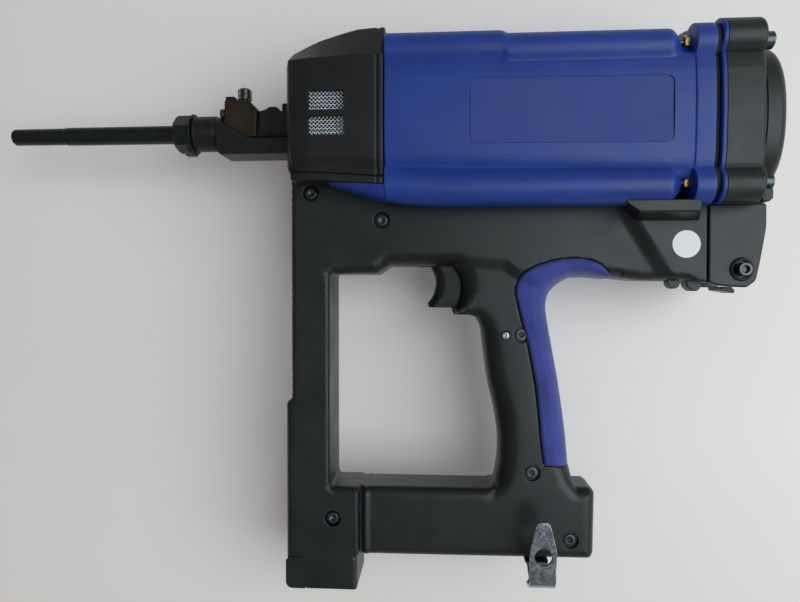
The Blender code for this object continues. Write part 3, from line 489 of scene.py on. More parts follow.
def turned(name, profile, mat, axis="X", centre=None, steps=64, turn=0.0, closed=False, corner_steps=5, **kw):
    bm = bmesh.new()
    add_turned(bm, profile, axis, (0.0, AXIS) if centre is None else centre, steps, turn, closed, corner_steps)
    return finish(name, bm, mat, **kw)


def loft(bm, rings, caps=True):
    made = [[bm.verts.new(p) for p in ring] for ring in rings]
    for a, b in zip(made, made[1:]):
        ring_faces(bm, a, b)
    if caps:
        cap(bm, [made[0]])
        cap(bm, [made[-1]])
    return made


def cubic(points, per=6):
    """Catmull-Rom through the points, open."""
    pts = [np.array(p, float) for p in points]
    out = []
    for i in range(len(pts) - 1):
        p0, p1, p2, p3 = pts[max(i - 1, 0)], pts[i], pts[i + 1], pts[min(i + 2, len(pts) - 1)]
        for k in range(per):
            t = k / per
            out.append(0.5 * (2 * p1 + (p2 - p0) * t + (2 * p0 - 5 * p1 + 4 * p2 - p3) * t**2 + (3 * p1 - p0 - 3 * p2 + p3) * t**3))
    out.append(pts[-1])
    return out


def smooth(t):
    t = np.clip(t, 0.0, 1.0)
    return t * t * (3 - 2 * t)


def interp(x, table):
    xs = [row[0] for row in table]
    return [float(np.interp(x, xs, [row[k] for row in table])) for k in range(1, len(table[0]))]


# ------------------------------------------------------------------ moulded body halves as fine relief shells
# Corners: x, z, corner radius, edge radius of the side that leaves the corner.
OUTER = [
    (-59.6, 290.7, 1.5, 1.2), (7.2, 290.7, 1, 1), (7.2, 275.4, 1, 3), (223.6, 275.4, 0.8, 0.9),
    (223.6, 217.6, 1, 2), (214.3, 218.8, 12, 7), (181.7, 219.2, 60, 8), (160.4, 221.7, 30, 9), (148.0, 222.9, 20, 10), (136.5, 222.6, 10, 12),
    (128.6, 218.3, 12, 14), (122.9, 212.9, 12, 16), (120.0, 206.4, 10, 16), (119.4, 198.8, 20, 16), (121.1, 186.3, 60, 16), (125.0, 164.2, 90, 16), (129.5, 139.9, 90, 16),
    (132.3, 117.9, 90, 15), (135.2, 93.4, 60, 13), (138.2, 81.0, 6, 11), (141.0, 74.4, 2.5, 8), (153.4, 74.4, 5, 8), (152.6, 24.7, 5, 6.5),
    (-13.1, 23.7, 1, 2.2), (-13.1, 0.0, 2.2, 2.2), (-63.5, 0.0, 5, 4.2), (-63.5, 132.5, 2.2, 3.6), (-59.6, 136.0, 1.5, 3.6),
]
HOLE = [
    (-32.4, 223.9, 3.2, 8), (0.8, 223.9, 6, 8), (8.8, 229.6, 6, 10), (54.5, 229.4, 2, 12), (59.3, 221.5, 10, 14), (59.9, 213.0, 16, 14),
    (58.2, 203.8, 4, 9), (57.2, 199.7, 1, 2), (53.6, 199.3, 0.8, 1.5), (54.9, 195.3, 1.0, 3), (64.0, 195.2, 3, 8), (70.8, 193.6, 5, 11),
    (74.2, 187.0, 9, 13), (79.3, 148.0, 120, 14), (83.9, 128.8, 90, 14), (87.2, 109.1, 90, 14), (87.1, 91.9, 60, 13), (84.2, 72.8, 7, 6.5),
    (-32.4, 72.8, 3.2, 2.8),
]
SCREWS = [(-45.3, 280.6), (4.6, 261.3), (101.8, 181.3), (109.4, 85.0), (-30.3, 50.8), (135.7, 38.2)]
PIN = (90.6, 180.8)
PAD_PAIRS = [  # front edge, rear edge on the mid-plane
    ((161.5, 221.8), (160.8, 220.5)), ((158.9, 225.7), (157.0, 220.8)), ((154.3, 229.9), (152.0, 221.2)), ((147.1, 232.8), (147.0, 221.5)),
    ((138.9, 233.9), (141.8, 221.4)), ((130.6, 233.6), (137.1, 221.1)), ((122.3, 232.1), (133.4, 219.4)), ((115.1, 230.0), (129.6, 217.1)),
    ((108.9, 227.4), (126.6, 214.6)), ((103.7, 224.2), (124.1, 212.1)), ((100.6, 220.6), (122.5, 209.3)), ((98.5, 215.3), (121.4, 206.0)),
    ((98.4, 209.0), (120.9, 202.4)), ((100.0, 201.6), (120.9, 198.0)), ((102.2, 192.1), (121.8, 191.4)), ((104.5, 183.0), (123.0, 184.0)),
    ((107.0, 173.1), (124.9, 173.8)), ((109.6, 159.3), (127.4, 159.8)), ((111.8, 146.7), (129.7, 147.0)), ((113.9, 128.7), (132.4, 129.0)),
    ((115.4, 111.7), (134.7, 111.5)), ((116.8, 99.0), (136.0, 98.0)), ((118.2, 91.0), (136.7, 89.6)),
]
BEAM_H, DROP_HANDLE, RAISE_REAR = 22.3, 2.9, 4.0
REAR_H = BEAM_H + RAISE_REAR


def outline(corners, grow, steps=8, spacing=3.0):
    """Dense loop of points along the rounded outline."""
    loop = rounded([c[:3] for c in corners], steps)
    dense = []
    for i, p in enumerate(loop):
        q = loop[(i + 1) % len(loop)]
        length = math.dist(p, q)
        if length < 1e-4:
            continue
        pieces = max(1, int(math.ceil(length / spacing)))
        dense += [(p[0] + (q[0] - p[0]) * k / pieces, p[1] + (q[1] - p[1]) * k / pieces) for k in range(pieces)]
    return np.array(dense)


def segment_distance(points, a, b):
    """Distance from every point to every segment."""
    ab = b - a
    rel = points[:, None, :] - a[None]
    t = np.clip((rel * ab[None]).sum(-1) / np.maximum((ab * ab).sum(-1), 1e-9)[None], 0, 1)
    near = a[None] + t[..., None] * ab[None]
    return np.linalg.norm(points[:, None, :] - near, axis=-1)


def inside(points, loop):
    x, z = points[:, 0], points[:, 1]
    ax, az = loop[:, 0], loop[:, 1]
    bx, bz = np.roll(ax, -1), np.roll(az, -1)
    crossing = (az[None] > z[:, None]) != (bz[None] > z[:, None])
    at = ax[None] + (z[:, None] - az[None]) * (bx - ax)[None] / np.where(bz == az, 1e-9, bz - az)[None]
    return (crossing & (x[:, None] < at)).sum(1) % 2 == 1


def side_table(corners):
    a = np.array([c[:2] for c in corners], float)
    return a, np.roll(a, -1, axis=0), np.array([c[3] for c in corners], float)


OUT_A, OUT_B, OUT_R = side_table(OUTER)
HOLE_A, HOLE_B, HOLE_R = side_table(HOLE)
SIDE_A, SIDE_B = np.concatenate([OUT_A, HOLE_A]), np.concatenate([OUT_B, HOLE_B])
SIDE_R = np.concatenate([OUT_R, HOLE_R])
OUT_LOOP, HOLE_LOOP = outline(OUTER, False), outline(HOLE, True)
PAD_LOOP = np.array([p for p, _ in PAD_PAIRS] + [q for _, q in reversed(PAD_PAIRS)], float)


def relief(p):
    """Height of the side face over the mid-plane, before the rounded edges."""
    x, z = p[:, 0], p[:, 1]
    h = np.full(len(p), BEAM_H)
    # rear part stands proud behind a slanting step
    u = (x - 162.0) * 0.856 + (z - 268.1) * 0.519
    h += RAISE_REAR * smooth(u / 12.0)
    # handle and base bar lie lower than the beam, below a soft slope
    top = 239.2 - 3.8 * smooth((x - 45.0) / 42.0) - 7.5 * smooth((x - 88.0) / 14.0)
    low = smooth((top - z) / 10.8) * smooth((x - 3.0) / 9.0) * (x < 170)
    base = smooth((79.0 - z) / 5.0) * smooth((x + 13.0) / 3.0)
    low = np.maximum(low, base)
    h -= DROP_HANDLE * low
    # groove and bead where the base bar meets the foot
    beside = smooth((76.0 - z) / 2.5)
    h -= 1.9 * np.exp(-(((x + 10.6) / 1.35) ** 2)) * beside
    h += 1.3 * np.exp(-(((x + 6.9) / 1.7) ** 2)) * beside
    # palm swell of the handle
    h += 0.9 * np.exp(-(((x - 103.0) / 16.0) ** 2) - ((z - 140.0) / 46.0) ** 2)
    # shallow recess round the grip pad
    d = segment_distance(p, PAD_LOOP, np.roll(PAD_LOOP, -1, axis=0)).min(1)
    d[inside(p, PAD_LOOP)] = 0.0
    h = h - 1.1 * smooth((1.3 - d) / 0.8)
    return h


def edge_data(p):
    """(distance to the outline, edge radius there)."""
    d = segment_distance(p, np.concatenate([OUT_LOOP, HOLE_LOOP]), np.concatenate([np.roll(OUT_LOOP, -1, 0), np.roll(HOLE_LOOP, -1, 0)])).min(1)
    per_side = segment_distance(p, SIDE_A, SIDE_B)
    weight = 1.0 / (per_side + 0.6) ** 5
    return d, (weight * SIDE_R[None]).sum(1) / weight.sum(1)


def face_height(p):
    h = relief(p)
    d, r = edge_data(p)
    inner = np.clip(r - d, 0, r)
    return h - (r - np.sqrt(np.maximum(r * r - inner * inner, 0.0)))


def body_points():
    loops = [OUT_LOOP, HOLE_LOOP]
    border = np.concatenate(loops)
    cloud = []
    all_a = border
    all_b = np.concatenate([np.roll(OUT_LOOP, -1, 0), np.roll(HOLE_LOOP, -1, 0)])
    for loop in loops:
        tangent = np.roll(loop, -1, 0) - np.roll(loop, 1, 0)
        tangent /= np.maximum(np.linalg.norm(tangent, axis=1), 1e-9)[:, None]
        normal = np.stack([-tangent[:, 1], tangent[:, 0]], 1)
        for dist in (0.12, 0.4, 0.8, 1.35, 2.0, 2.9, 4.0, 5.4, 7.2, 9.4, 12.0, 15.0):
            for sign in (-1, 1):
                ring = loop + normal * dist * sign
                ok = inside(ring, OUT_LOOP) & ~inside(ring, HOLE_LOOP)
                ring = ring[ok]
                real = segment_distance(ring, all_a, all_b).min(1)
                cloud.append(ring[real > dist * 0.93])
    lo, hi = border.min(0), border.max(0)

    def grid(step):
        xs, zs = np.arange(lo[0], hi[0], step), np.arange(lo[1], hi[1], step * 0.87)
        gx, gz = np.meshgrid(xs, zs)
        gx = gx + (np.arange(len(zs)) % 2)[:, None] * step / 2
        g = np.stack([gx.ravel(), gz.ravel()], 1)
        g = g[inside(g, OUT_LOOP) & ~inside(g, HOLE_LOOP)]
        return g[segment_distance(g, all_a, all_b).min(1) > min(step * 0.5, 1.2)]

    coarse = grid(3.6)
    fine = grid(1.05)
    e = 0.4
    gx = (relief(fine + [e, 0]) - relief(fine - [e, 0])) / (2 * e)
    gz = (relief(fine + [0, e]) - relief(fine - [0, e])) / (2 * e)
    curve = np.hypot(gx, gz)
    gx2 = relief(fine + [1.2, 0]) + relief(fine - [1.2, 0]) + relief(fine + [0, 1.2]) + relief(fine - [0, 1.2]) - 4 * relief(fine)
    fine = fine[(np.abs(gx2) > 0.02) | (curve > 0.25)]
    cloud += [coarse, fine]
    pts = np.concatenate(cloud)
    # thin out points that almost coincide
    keys = np.round(pts / 0.34).astype(int)
    _, first = np.unique(keys, axis=0, return_index=True)
    return pts[np.sort(first)]


BODY_CLOUD = body_points()


def body_shell(name, side, node, recesses):
    cloud = BODY_CLOUD
    rings = []
    for x, z, radius, depth in recesses:
        d = np.hypot(cloud[:, 0] - x, cloud[:, 1] - z)
        cloud = cloud[d > radius + 1.1]
        rings.append((x, z, radius, depth))
    n_out, n_hole = len(OUT_LOOP), len(HOLE_LOOP)
    pts = np.concatenate([OUT_LOOP, HOLE_LOOP, cloud])
    y = face_height(pts)
    extra, extra_y = [], []
    for x, z, radius, depth in rings:
        top = face_height(np.array([[x, z]]))[0]
        for r, drop in ((radius + 0.9, 0.0), (radius + 0.35, 0.06), (radius + 0.1, 0.3), (radius, 0.7), (radius - 0.12, depth - 0.5), (radius - 0.4, depth - 0.12), (radius - 0.9, depth), (radius * 0.45, depth)):
            ring = np.array(circle(x, z, r, 44))
            extra.append(ring)
            extra_y.append((face_height(ring) if drop < 0.1 else np.full(44, top)) - drop)
        extra.append(np.array([[x, z]]))
        extra_y.append(np.array([top - depth]))
    if extra:
        pts = np.concatenate([pts] + extra)
        y = np.concatenate([y] + extra_y)
    edges = [(i, (i + 1) % n_out) for i in range(n_out)]
    edges += [(n_out + i, n_out + (i + 1) % n_hole) for i in range(n_hole)]
    result = delaunay_2d_cdt([Vector(p) for p in pts], edges, [], 0, 1e-5)
    out_xy, faces, orig = result[0], result[2], result[3]
    xy = np.array([tuple(v) for v in out_xy])
    heights = np.array([y[ids[0]] if ids else np.nan for ids in orig])
    missing = np.isnan(heights)
    if missing.any():
        heights[missing] = face_height(xy[missing])
    tri = np.array([f for f in faces if len(f) == 3])
    mid = xy[tri].mean(1)
    keep = inside(mid, OUT_LOOP) & ~inside(mid, HOLE_LOOP)
    tri = tri[keep]
    bm = bmesh.new()
    verts = [bm.verts.new((p[0], side * h, p[1])) for p, h in zip(xy, heights)]
    for t in tri:
        bm.faces.new([verts[i] for i in t])
    bmesh.ops.delete(bm, geom=[v for v in bm.verts if not v.link_faces], context="VERTS")
    border = [e for e in bm.edges if len(e.link_faces) == 1]
    for level, inset in ((0.55, 0.0), (0.15, 0.3)):
        made = bmesh.ops.extrude_edge_only(bm, edges=border)["geom"]
        new = [v for v in made if isinstance(v, bmesh.types.BMVert)]
        bm.normal_update()
        moves = {}
        for v in new:
            if inset:
                n = Vector((0, 0, 0))
                for f in v.link_faces:
                    n += f.normal
                n.y = 0
                moves[v] = n.normalized() if n.length > 1e-6 else Vector((0, 0, 0))
        for v in new:
            v.co.y = side * level
        if inset:
            centre_sign = SEAM_SIGN[side]
            for v, n in moves.items():
                v.co += n * inset * centre_sign
        border = [e for e in made if isinstance(e, bmesh.types.BMEdge) and len(e.link_faces) == 1]
    bmesh.ops.triangle_fill(bm, use_beauty=True, use_dissolve=False, edges=border)
    return finish(name, bm, BLACK, ride=False)


SEAM_SIGN = {-1: 0.0, 1: 0.0}


def solid(name, corners, lo, hi, axis="Y", r=0.0, steps=6):
    return slab(name, corners, lo, hi, None, r, r, axis, steps, ride=False)


def both(side, a, b):
    return min(side * a, side * b), max(side * a, side * b)


def make_body(side):
    tag = "left" if side < 0 else "right"
    recesses = [(x, z, 5.5, 4.8) for x, z in SCREWS] + [(*PIN, 2.95, 1.0)] if side < 0 else []
    shell = body_shell(f"{tag}_body", side, f"{tag}_body_shell", recesses)
    cavity_out = offset_corners([c[:3] for c in OUTER], 3.4)
    cavity_hole = offset_corners([c[:3] for c in HOLE], 3.4, True)
    bm = bmesh.new()
    lo, hi = both(side, -2.0, 12.5)
    rings = []
    for y in (lo, hi):
        rings.append(([bm.verts.new((p[0], y, p[1])) for p in rounded(cavity_out, 3)], [bm.verts.new((p[0], y, p[1])) for p in rounded(cavity_hole, 3)]))
    ring_faces(bm, rings[0][0], rings[1][0])
    ring_faces(bm, rings[0][1], rings[1][1])
    cap(bm, list(rings[0]))
    cap(bm, list(rings[1]))
    boolean(shell, finish("cavity", bm, None, ride=False))
    for i, (x, z) in enumerate([] if side > 0 else SCREWS):
        bm = bmesh.new()
        add_turned(bm, [(0.2 * side, 0, 0), (0.2 * side, 7.2, 0), (17.0 * side, 7.2, 0), (17.0 * side, 0, 0)], "Y", (x, z), 24, 0.1)
        boolean(shell, finish("boss", bm, None, ride=False), "UNION")
    lo, hi = both(side, 10.5, 19.0)
    if side < 0:
        boolean(shell, solid("nub", [(x, z, 0) for x, z in circle(204.6, 217.6, 4.2, 28)], lo, hi, r=0.6), "UNION")
    lo, hi = both(side, 9.0, 20.0)
    if side < 0:
        boolean(shell, solid("nub2", [(212.2, 219.8, 0), (213.0, 215.0, 2.4), (216.0, 211.8, 2.4), (220.0, 211.8, 2.4), (222.8, 215.0, 2.4), (222.9, 219.4, 0)], lo, hi, r=0.8), "UNION")
    lo, hi = both(side, -1.0, 8.2)
    boolean(shell, solid("slot", rect(30.0, 79.0, 199.8, 232.0, 1.0), lo, hi))
    lo, hi = both(side, -1.0, 18.5)
    boolean(shell, solid("cell_mouth", rect(205.0, 226.0, 222.45, 262.0, 2.0), lo, hi))
    boolean(shell, solid("battery_mouth", rect(-60.9, -16.4, -2.0, 44.5, 1.0), lo, hi))
    if side < 0:
        boolean(shell, solid("latch_seat", [(-66.0, -2.0, 0), (-49.2, -2.0, 0), (-49.2, 23.4, 3.6), (-61.3, 23.4, 3.2), (-66.0, 21.0, 0)], -30.0, -BEAM_H + 3.65))
    settle(shell, "root", "black_plastic", (f"{tag}_body_shell",), 38.0)
    # ledge under the rear of the housing
    bm = bmesh.new()
    ledge = [
        (24.8, [(167.4, 268.3), (220.6, 268.3), (218.4, 258.9), (177.4, 258.9)]),
        (26.0, [(167.2, 268.4), (220.4, 268.4), (218.2, 259.0), (177.2, 259.0)]),
        (44.8, [(162.6, 270.9), (212.4, 270.9), (211.6, 262.0), (173.6, 262.0)]),
        (46.0, [(162.9, 270.6), (212.1, 270.6), (211.4, 262.6), (173.4, 262.6)]),
        (46.6, [(164.0, 269.9), (211.4, 269.9), (210.8, 263.5), (173.4, 263.5)]),
    ]
    loft(bm, [[(x, side * h, z) for x, z in rounded([(*p, 0.8) for p in loop], 4, even=True)] for h, loop in ledge])
    finish(f"{tag}_ledge", bm, BLACK, slot="black_plastic", sharp=30)
    return shell


make_body(-1)
make_body(1)

# hexagon-socket screws at the bottom of their recesses
for i, (x, z) in enumerate(SCREWS):
    top = float(face_height(np.array([[x, z]]))[0])
    seat = -(top - 4.8)
    head = seat - 3.3
    turned(
        f"socket_screw_{i + 1}",
        [(seat + 14.0, 0, 0), (seat + 14.0, 1.9, 0), (seat, 1.9, 0), (seat - 0.05, 4.0, 0.2), (head, 4.0, 0.55), (head, 2.35, 0.15), (head + 0.35, 1.75, 0.0, "hex"), (head + 2.3, 1.7, 0, "hex"), (head + 2.9, 0, 0)],
        SCREW, "Y", (x, z), 48, 0.3 * i, slot="black_steel", replaces=(f"body_screw_{i + 1}",),
    )
turned("locating_pin", [(-19.0, 0, 0), (-19.0, 2.7, 0), (-21.4, 2.7, 0.5), (-21.7, 1.5, 0.2), (-21.1, 0.9, 0.1), (-21.1, 0, 0)], BRIGHT, "Y", PIN, 40, slot="bright_steel")

# plain round sticker
turned("round_label", [(-REAR_H + 0.1, 0, 0), (-REAR_H + 0.1, 9.25, 0), (-REAR_H - 0.22, 9.25, 0.1), (-REAR_H - 0.24, 0, 0)], LABEL, "Y", (210.0, 243.3), 72, slot="white_ceramic")

# ------------------------------------------------------------------ grip pads


def grip(side):
    tag = "left" if side < 0 else "right"
    per = 7
    front = cubic([a for a, _ in PAD_PAIRS], per)
    back = cubic([b for _, b in PAD_PAIRS], per)
    n = len(front)
    length = np.concatenate([[0], np.cumsum([np.linalg.norm(b - a) for a, b in zip(front, front[1:])])])
    ts = [0.0, 0.006, 0.016, 0.03, 0.055, 0.09, 0.14, 0.2, 0.28, 0.36, 0.44, 0.52, 0.6, 0.67, 0.73, 0.79, 0.84, 0.885, 0.92, 0.95, 0.97, 0.985, 0.995, 1.0]
    bm = bmesh.new()
    grid, under = [], []
    for i in range(n):
        f, b = front[i], back[i]
        end = min(length[i], length[-1] - length[i])
        lift = math.sqrt(max(0.0, 1 - (1 - min(1.0, end / 1.8)) ** 2))
        width = float(np.linalg.norm(b - f))
        base_h = float(relief(np.array([f + (f - b) * 2.2 / max(width, 1.0)]))[0]) - 1.1
        row, low = [], []
        for t in ts:
            p = f + (b - f) * t
            from_front = t * width
            edge = math.sqrt(max(0.0, 1 - (1 - min(1.0, from_front / 2.0)) ** 2))
            # elliptical turn to the back of the handle
            s = max(0.0, (t - 0.42) / 0.58)
            body = base_h * math.sqrt(max(0.0, 1 - s * s))
            swell = 1.0 + 1.9 * edge * (0.15 + 0.85 * lift)
            y = (body + (swell if s == 0 else swell * (1 - s))) if t < 1 else 0.0
            y = max(y, 0.16)
            row.append(bm.verts.new((p[0], side * y, p[1])))
            q = f + (b - f) * min(max(t, 0.02), 0.93)
            low.append(bm.verts.new((q[0], side * max(min(y - 0.9, body - 0.4), 0.15), q[1])))
        grid.append(row)
        under.append(low)
    m = len(ts)
    for a in (grid, under):
        for i in range(n - 1):
            for j in range(m - 1):
                bm.faces.new((a[i][j], a[i + 1][j], a[i + 1][j + 1], a[i][j + 1]))
    for i in range(n - 1):
        bm.faces.new((grid[i][0], grid[i + 1][0], under[i + 1][0], under[i][0]))
        bm.faces.new((grid[i][-1], grid[i + 1][-1], under[i + 1][-1], under[i][-1]))
    for j in range(m - 1):
        bm.faces.new((grid[0][j], grid[0][j + 1], under[0][j + 1], under[0][j]))
        bm.faces.new((grid[-1][j], grid[-1][j + 1], under[-1][j + 1], under[-1][j]))
    return finish(f"{tag}_grip", bm, GRIP, slot="blue_rubber", replaces=(f"{tag}_grip_pad",), sharp=60)


grip(-1)
grip(1)

# ------------------------------------------------------------------ ribbed housing and rear cover


def polar_section(polygon, ribs, count=432):
    """Loop of (y, z) about the axis: the outermost of a polygon and round ribs, seen from the axis."""
    half = polygon
    full = half + [(-y, z) for y, z in reversed(half[1:-1])] if half[0][0] == 0 else half
    poly = np.array(full, float)
    a, b = poly, np.roll(poly, -1, 0)
    angles = np.linspace(-math.pi / 2, 1.5 * math.pi, count, endpoint=False)
    direction = np.stack([np.cos(angles), np.sin(angles)], 1)
    e = b - a
    # ray p = r * direction meets a + t * e
    det = direction[:, None, 0] * (-e[None, :, 1]) + e[None, :, 0] * direction[:, None, 1]
    det = np.where(np.abs(det) < 1e-9, 1e-9, det)
    r = (a[None, :, 0] * (-e[None, :, 1]) + e[None, :, 0] * a[None, :, 1]) / det
    t = (direction[:, None, 0] * a[None, :, 1] - direction[:, None, 1] * a[None, :, 0]) / det
    ok = (t >= -1e-6) & (t <= 1 + 1e-6) & (r > 0)
    radius = np.where(ok, r, 0).max(1)
    for cy, cz, rr in ribs:
        along = direction @ np.array([cy, cz])
        off = cy * cy + cz * cz - along * along
        hit = off < rr * rr
        reach = along + np.sqrt(np.maximum(rr * rr - off, 0))
        radius = np.where(hit & (along > 0), np.maximum(radius, reach), radius)
    return direction * radius[:, None]


RIB_FOOT = [(-33.0, 285.0), (-16.2, 279.1), (-6.0, 276.0), (1.6, 273.6), (8.6, 271.9), (15.1, 270.6), (28.3, 269.2), (38.8, 268.7), (60.0, 268.4), (300.0, 268.4)]


def housing_section(x, grow=0.0):
    front = 1.0 - smooth((x - 84.0) / 6.0)
    rear = 1.0 if x > 206.5 else 0.0
    zg = -33.0 - 7.1 * (x - 8.8) / 198.0
    top_c = 40.5 + 1.9 * front + 2.6 * rear
    top = 56.0 + 1.5 * front + 2.5 * rear
    lift = interp(x, RIB_FOOT)[0] - 268.4
    scoop = float(smooth((x - 191.0) / 12.5)) * (1 - rear)
    rib = 11.8 + 0.5 * rear
    if rear:
        side = [(46.5, -38.0), (48.0, -34.0), (49.2, -28.0)]
        upper = [(49.2, 24.0), (48.2, 31.0), (47.2, 36.0), (45.9, 40.0)]
        corner = [(40.0, 49.0)]
        foot = [(41.0, -49.0)]
    else:
        side = [(43.3, zg - 4.0), (44.6, zg - 1.6), (45.2, zg - 0.4), (45.6, zg + 0.6), (46.7, zg + 2.2), (47.9, zg + 4.8), (48.8, zg + 8.2)]
        upper = [(49.2, 24.0), (48.4, 30.0), (47.6, 33.2), (47.0, 34.4), (46.1, 35.2), (44.8, 35.9), (43.4 - 1.2 * scoop, 37.0 - 1.0 * scoop)]
        corner = [(40.0 - 3.5 * scoop, 49.0 - 3.8 * scoop)]
        foot = [(41.0 - 3.0 * scoop, -49.0 + 3.2 * scoop)]
    poly = [(0, -52.5 + lift), (30.0, -52.5 + lift + 2.0 * scoop)] + foot + side + [(49.7, -14.0), (50.0, -6.0), (50.1, 0), (50.0, 8.0), (49.7, 16.0)] + upper
    poly += corner + [(30.0, top - 3.2 - 1.2 * scoop), (20.0, top - 1.2), (10.0, top - 0.3), (0, top)]
    ribs = []
    if scoop < 0.98:
        k = 1 - scoop
        for s in (-1, 1):
            ribs += [(s * (39.4 - 3.4 * scoop), top_c - 1.0 * scoop, max(rib * k**0.45, 1.0)), (s * (39.4 - 3.4 * scoop), -48.3 + lift + 1.4 * scoop, max((rib + 0.3) * k**0.45, 1.0))]
    return polar_section(poly, ribs)


def tube(name, stations, bore, mat, cutters=(), **kw):
    """Loft of (x, loop of (y, z)) with a round bore through it."""
    bm = bmesh.new()
    outer = [[bm.verts.new((x, p[0], AXIS + p[1])) for p in loop] for x, loop in stations]
    for a, b in zip(outer, outer[1:]):
        ring_faces(bm, a, b)
    count = len(stations[0][1])
    inner = []
    for x in (stations[-1][0], stations[0][0]):
        inner.append([bm.verts.new((x, bore * math.cos(a), AXIS + bore * math.sin(a))) for a in np.linspace(-math.pi / 2, 1.5 * math.pi, count, endpoint=False)])
    ring_faces(bm, outer[-1], inner[0])
    ring_faces(bm, inner[0], inner[1])
    ring_faces(bm, inner[1], outer[0])
    obj = finish(name, bm, mat, ride=False)
    for cutter in cutters:
        boolean(obj, cutter)
    return settle(obj, **kw)


xs = [8.8, 9.0, 9.4, 10.0, 20, 32, 44, 56, 68, 78, 83, 85, 86, 87, 88, 89, 90.5, 92, 100, 112, 124, 136, 148, 160, 172, 180, 184, 186, 187.5, 189, 190.5, 192, 193.5, 195, 196.5, 198, 199.3, 200.4, 201.4, 202.4, 203.6, 204.8, 205.8]
xf = [206.6, 206.8, 207.2, 208.0, 212.0, 216.0, 218.2, 218.8, 219.0]


def stations_of(values, section, ends=(0.8, 0.8)):
    out = []
    for x in values:
        a = min(1.0, (x - values[0]) / ends[0]) if ends[0] else 1.0
        b = min(1.0, (values[-1] - x) / ends[1]) if ends[1] else 1.0
        round_in = max(1 - math.sqrt(max(0, 1 - (1 - a) ** 2)), 1 - math.sqrt(max(0, 1 - (1 - b) ** 2)))
        out.append((x, section(x, -0.8 * round_in)))
    return out


def scale_loop(loop, d):
    length = np.linalg.norm(loop, axis=1)[:, None]
    return loop * (1 + d / length)


panels = []
for s in (-1, 1):
    lo, hi = both(s, 48.75, 60.0)
    panels.append(slab("recess", [(63.8, AXIS + 21.8, 4.6), (193.4, AXIS + 20.4, 4.6), (193.4, AXIS - 22.4, 4.6), (63.8, AXIS - 21.4, 4.6)], lo, hi, None, 0, 0, "Y", 10, ride=False))

pipe = turned("pipe", [(268.0, 0, 0), (268.0, 2.0, 0), (284.0, 2.0, 0), (284.0, 0, 0)], None, "Z", (209.0, 0.0), 24, ride=False)
rods = [turned("hole", [(190.0, 0, 0), (190.0, 2.7, 0), (262.0, 2.7, 0), (262.0, 0, 0)], None, "X", (s * 38.0, AXIS + z), 28, 0.05, ride=False) for s in (-1, 1) for z in (44.5, -46.0)]
for rod in rods:
    rod.hide_render = True
stations = stations_of(xs, lambda x, d: scale_loop(housing_section(x), d), (1.2, 0)) + stations_of(xf, lambda x, d: scale_loop(housing_section(x), d), (0.9, 0.9))
housing = tube("ribbed_housing", stations, 44.5, BLUE, panels + [pipe], body="root", slot="blue_paint", replaces=("main_housing",), sharp=30)

# flat name panels, left empty
for s, tag in ((-1, "left"), (1, "right")):
    lo, hi = both(s, 48.0, 49.2)
    r0, r1 = (0.35, 0.0) if s < 0 else (0.0, 0.35)
    slab(f"{tag}_panel", [(64.5, AXIS + 21.1, 4.1), (192.7, AXIS + 19.7, 4.1), (192.7, AXIS - 21.7, 4.1), (64.5, AXIS - 20.7, 4.1)], lo, hi, PANEL, r0, r1, "Y", 10, 3, slot="blue_paint")

# lower ribs run on under the shroud and rise to its lip
for s, tag in ((-1, "left"), (1, "right")):
    bm = bmesh.new()
    rings = []
    for x in np.linspace(8.7, -31.0, 30):
        bottom = interp(x, RIB_FOOT)[0]
        top = 281.2 + 3.2 * (8.7 - x) / 39.7
        if top - bottom < 0.35:
            break
        foot = 39.4 - 3.5 * ((8.7 - x) / 39.7) ** 1.5
        last = math.asin(max(-1.0, min(0.99, (top - bottom - 12.1) / 12.1)))
        arc = [-math.pi / 2 + (last + math.pi / 2) * k / 14 for k in range(15)]
        loop = [(27.0, top), (27.0, bottom)] + [(foot + 12.1 * math.cos(a), bottom + 12.1 + 12.1 * math.sin(a)) for a in arc]
        rings.append([(x, s * y, z) for y, z in loop])
    loft(bm, rings)
    finish(f"{tag}_lower_rib", bm, BLUE, slot="blue_paint", sharp=40)


def cover_section(shrink):
    poly = [(0, -52.5), (30.0, -52.5), (41.0, -49.0), (45.2, -42.0), (46.6, -38.4), (47.8, -35.6), (49.0, -29.0), (49.8, -14.0), (50.2, 0), (49.9, 12.0), (49.3, 24.0), (48.4, 30.0), (47.6, 34.0), (46.4, 36.2), (44.4, 38.0)]
    poly += [(40.0, 50.0), (28.0, 59.0), (14.0, 60.7), (0, 61.0)]
    ribs = [(s * 39.4, 45.9, 12.2) for s in (-1, 1)] + [(s * 39.4, -48.0, 12.3) for s in (-1, 1)]
    return scale_loop(polar_section(poly, ribs), -shrink)


def rounded_stations(x0, x1, r0, r1, base, steps=5):
    out = [(x0 + drop, cover_section(base + inset)) for inset, drop in reversed(fillet(r0, steps))]
    out += [(x0 + (x1 - x0) * k / 4, cover_section(base)) for k in (1, 2, 3)]
    out += [(x1 - drop, cover_section(base + inset)) for inset, drop in fillet(r1, steps)]
    return out


def rod_set():
    return [turned("hole", [(190.0, 0, 0), (190.0, 2.7, 0), (262.0, 2.7, 0), (262.0, 0, 0)], None, "X", (s * 38.0, AXIS + z), 28, 0.05, ride=False) for s in (-1, 1) for z in (44.5, -46.0)]


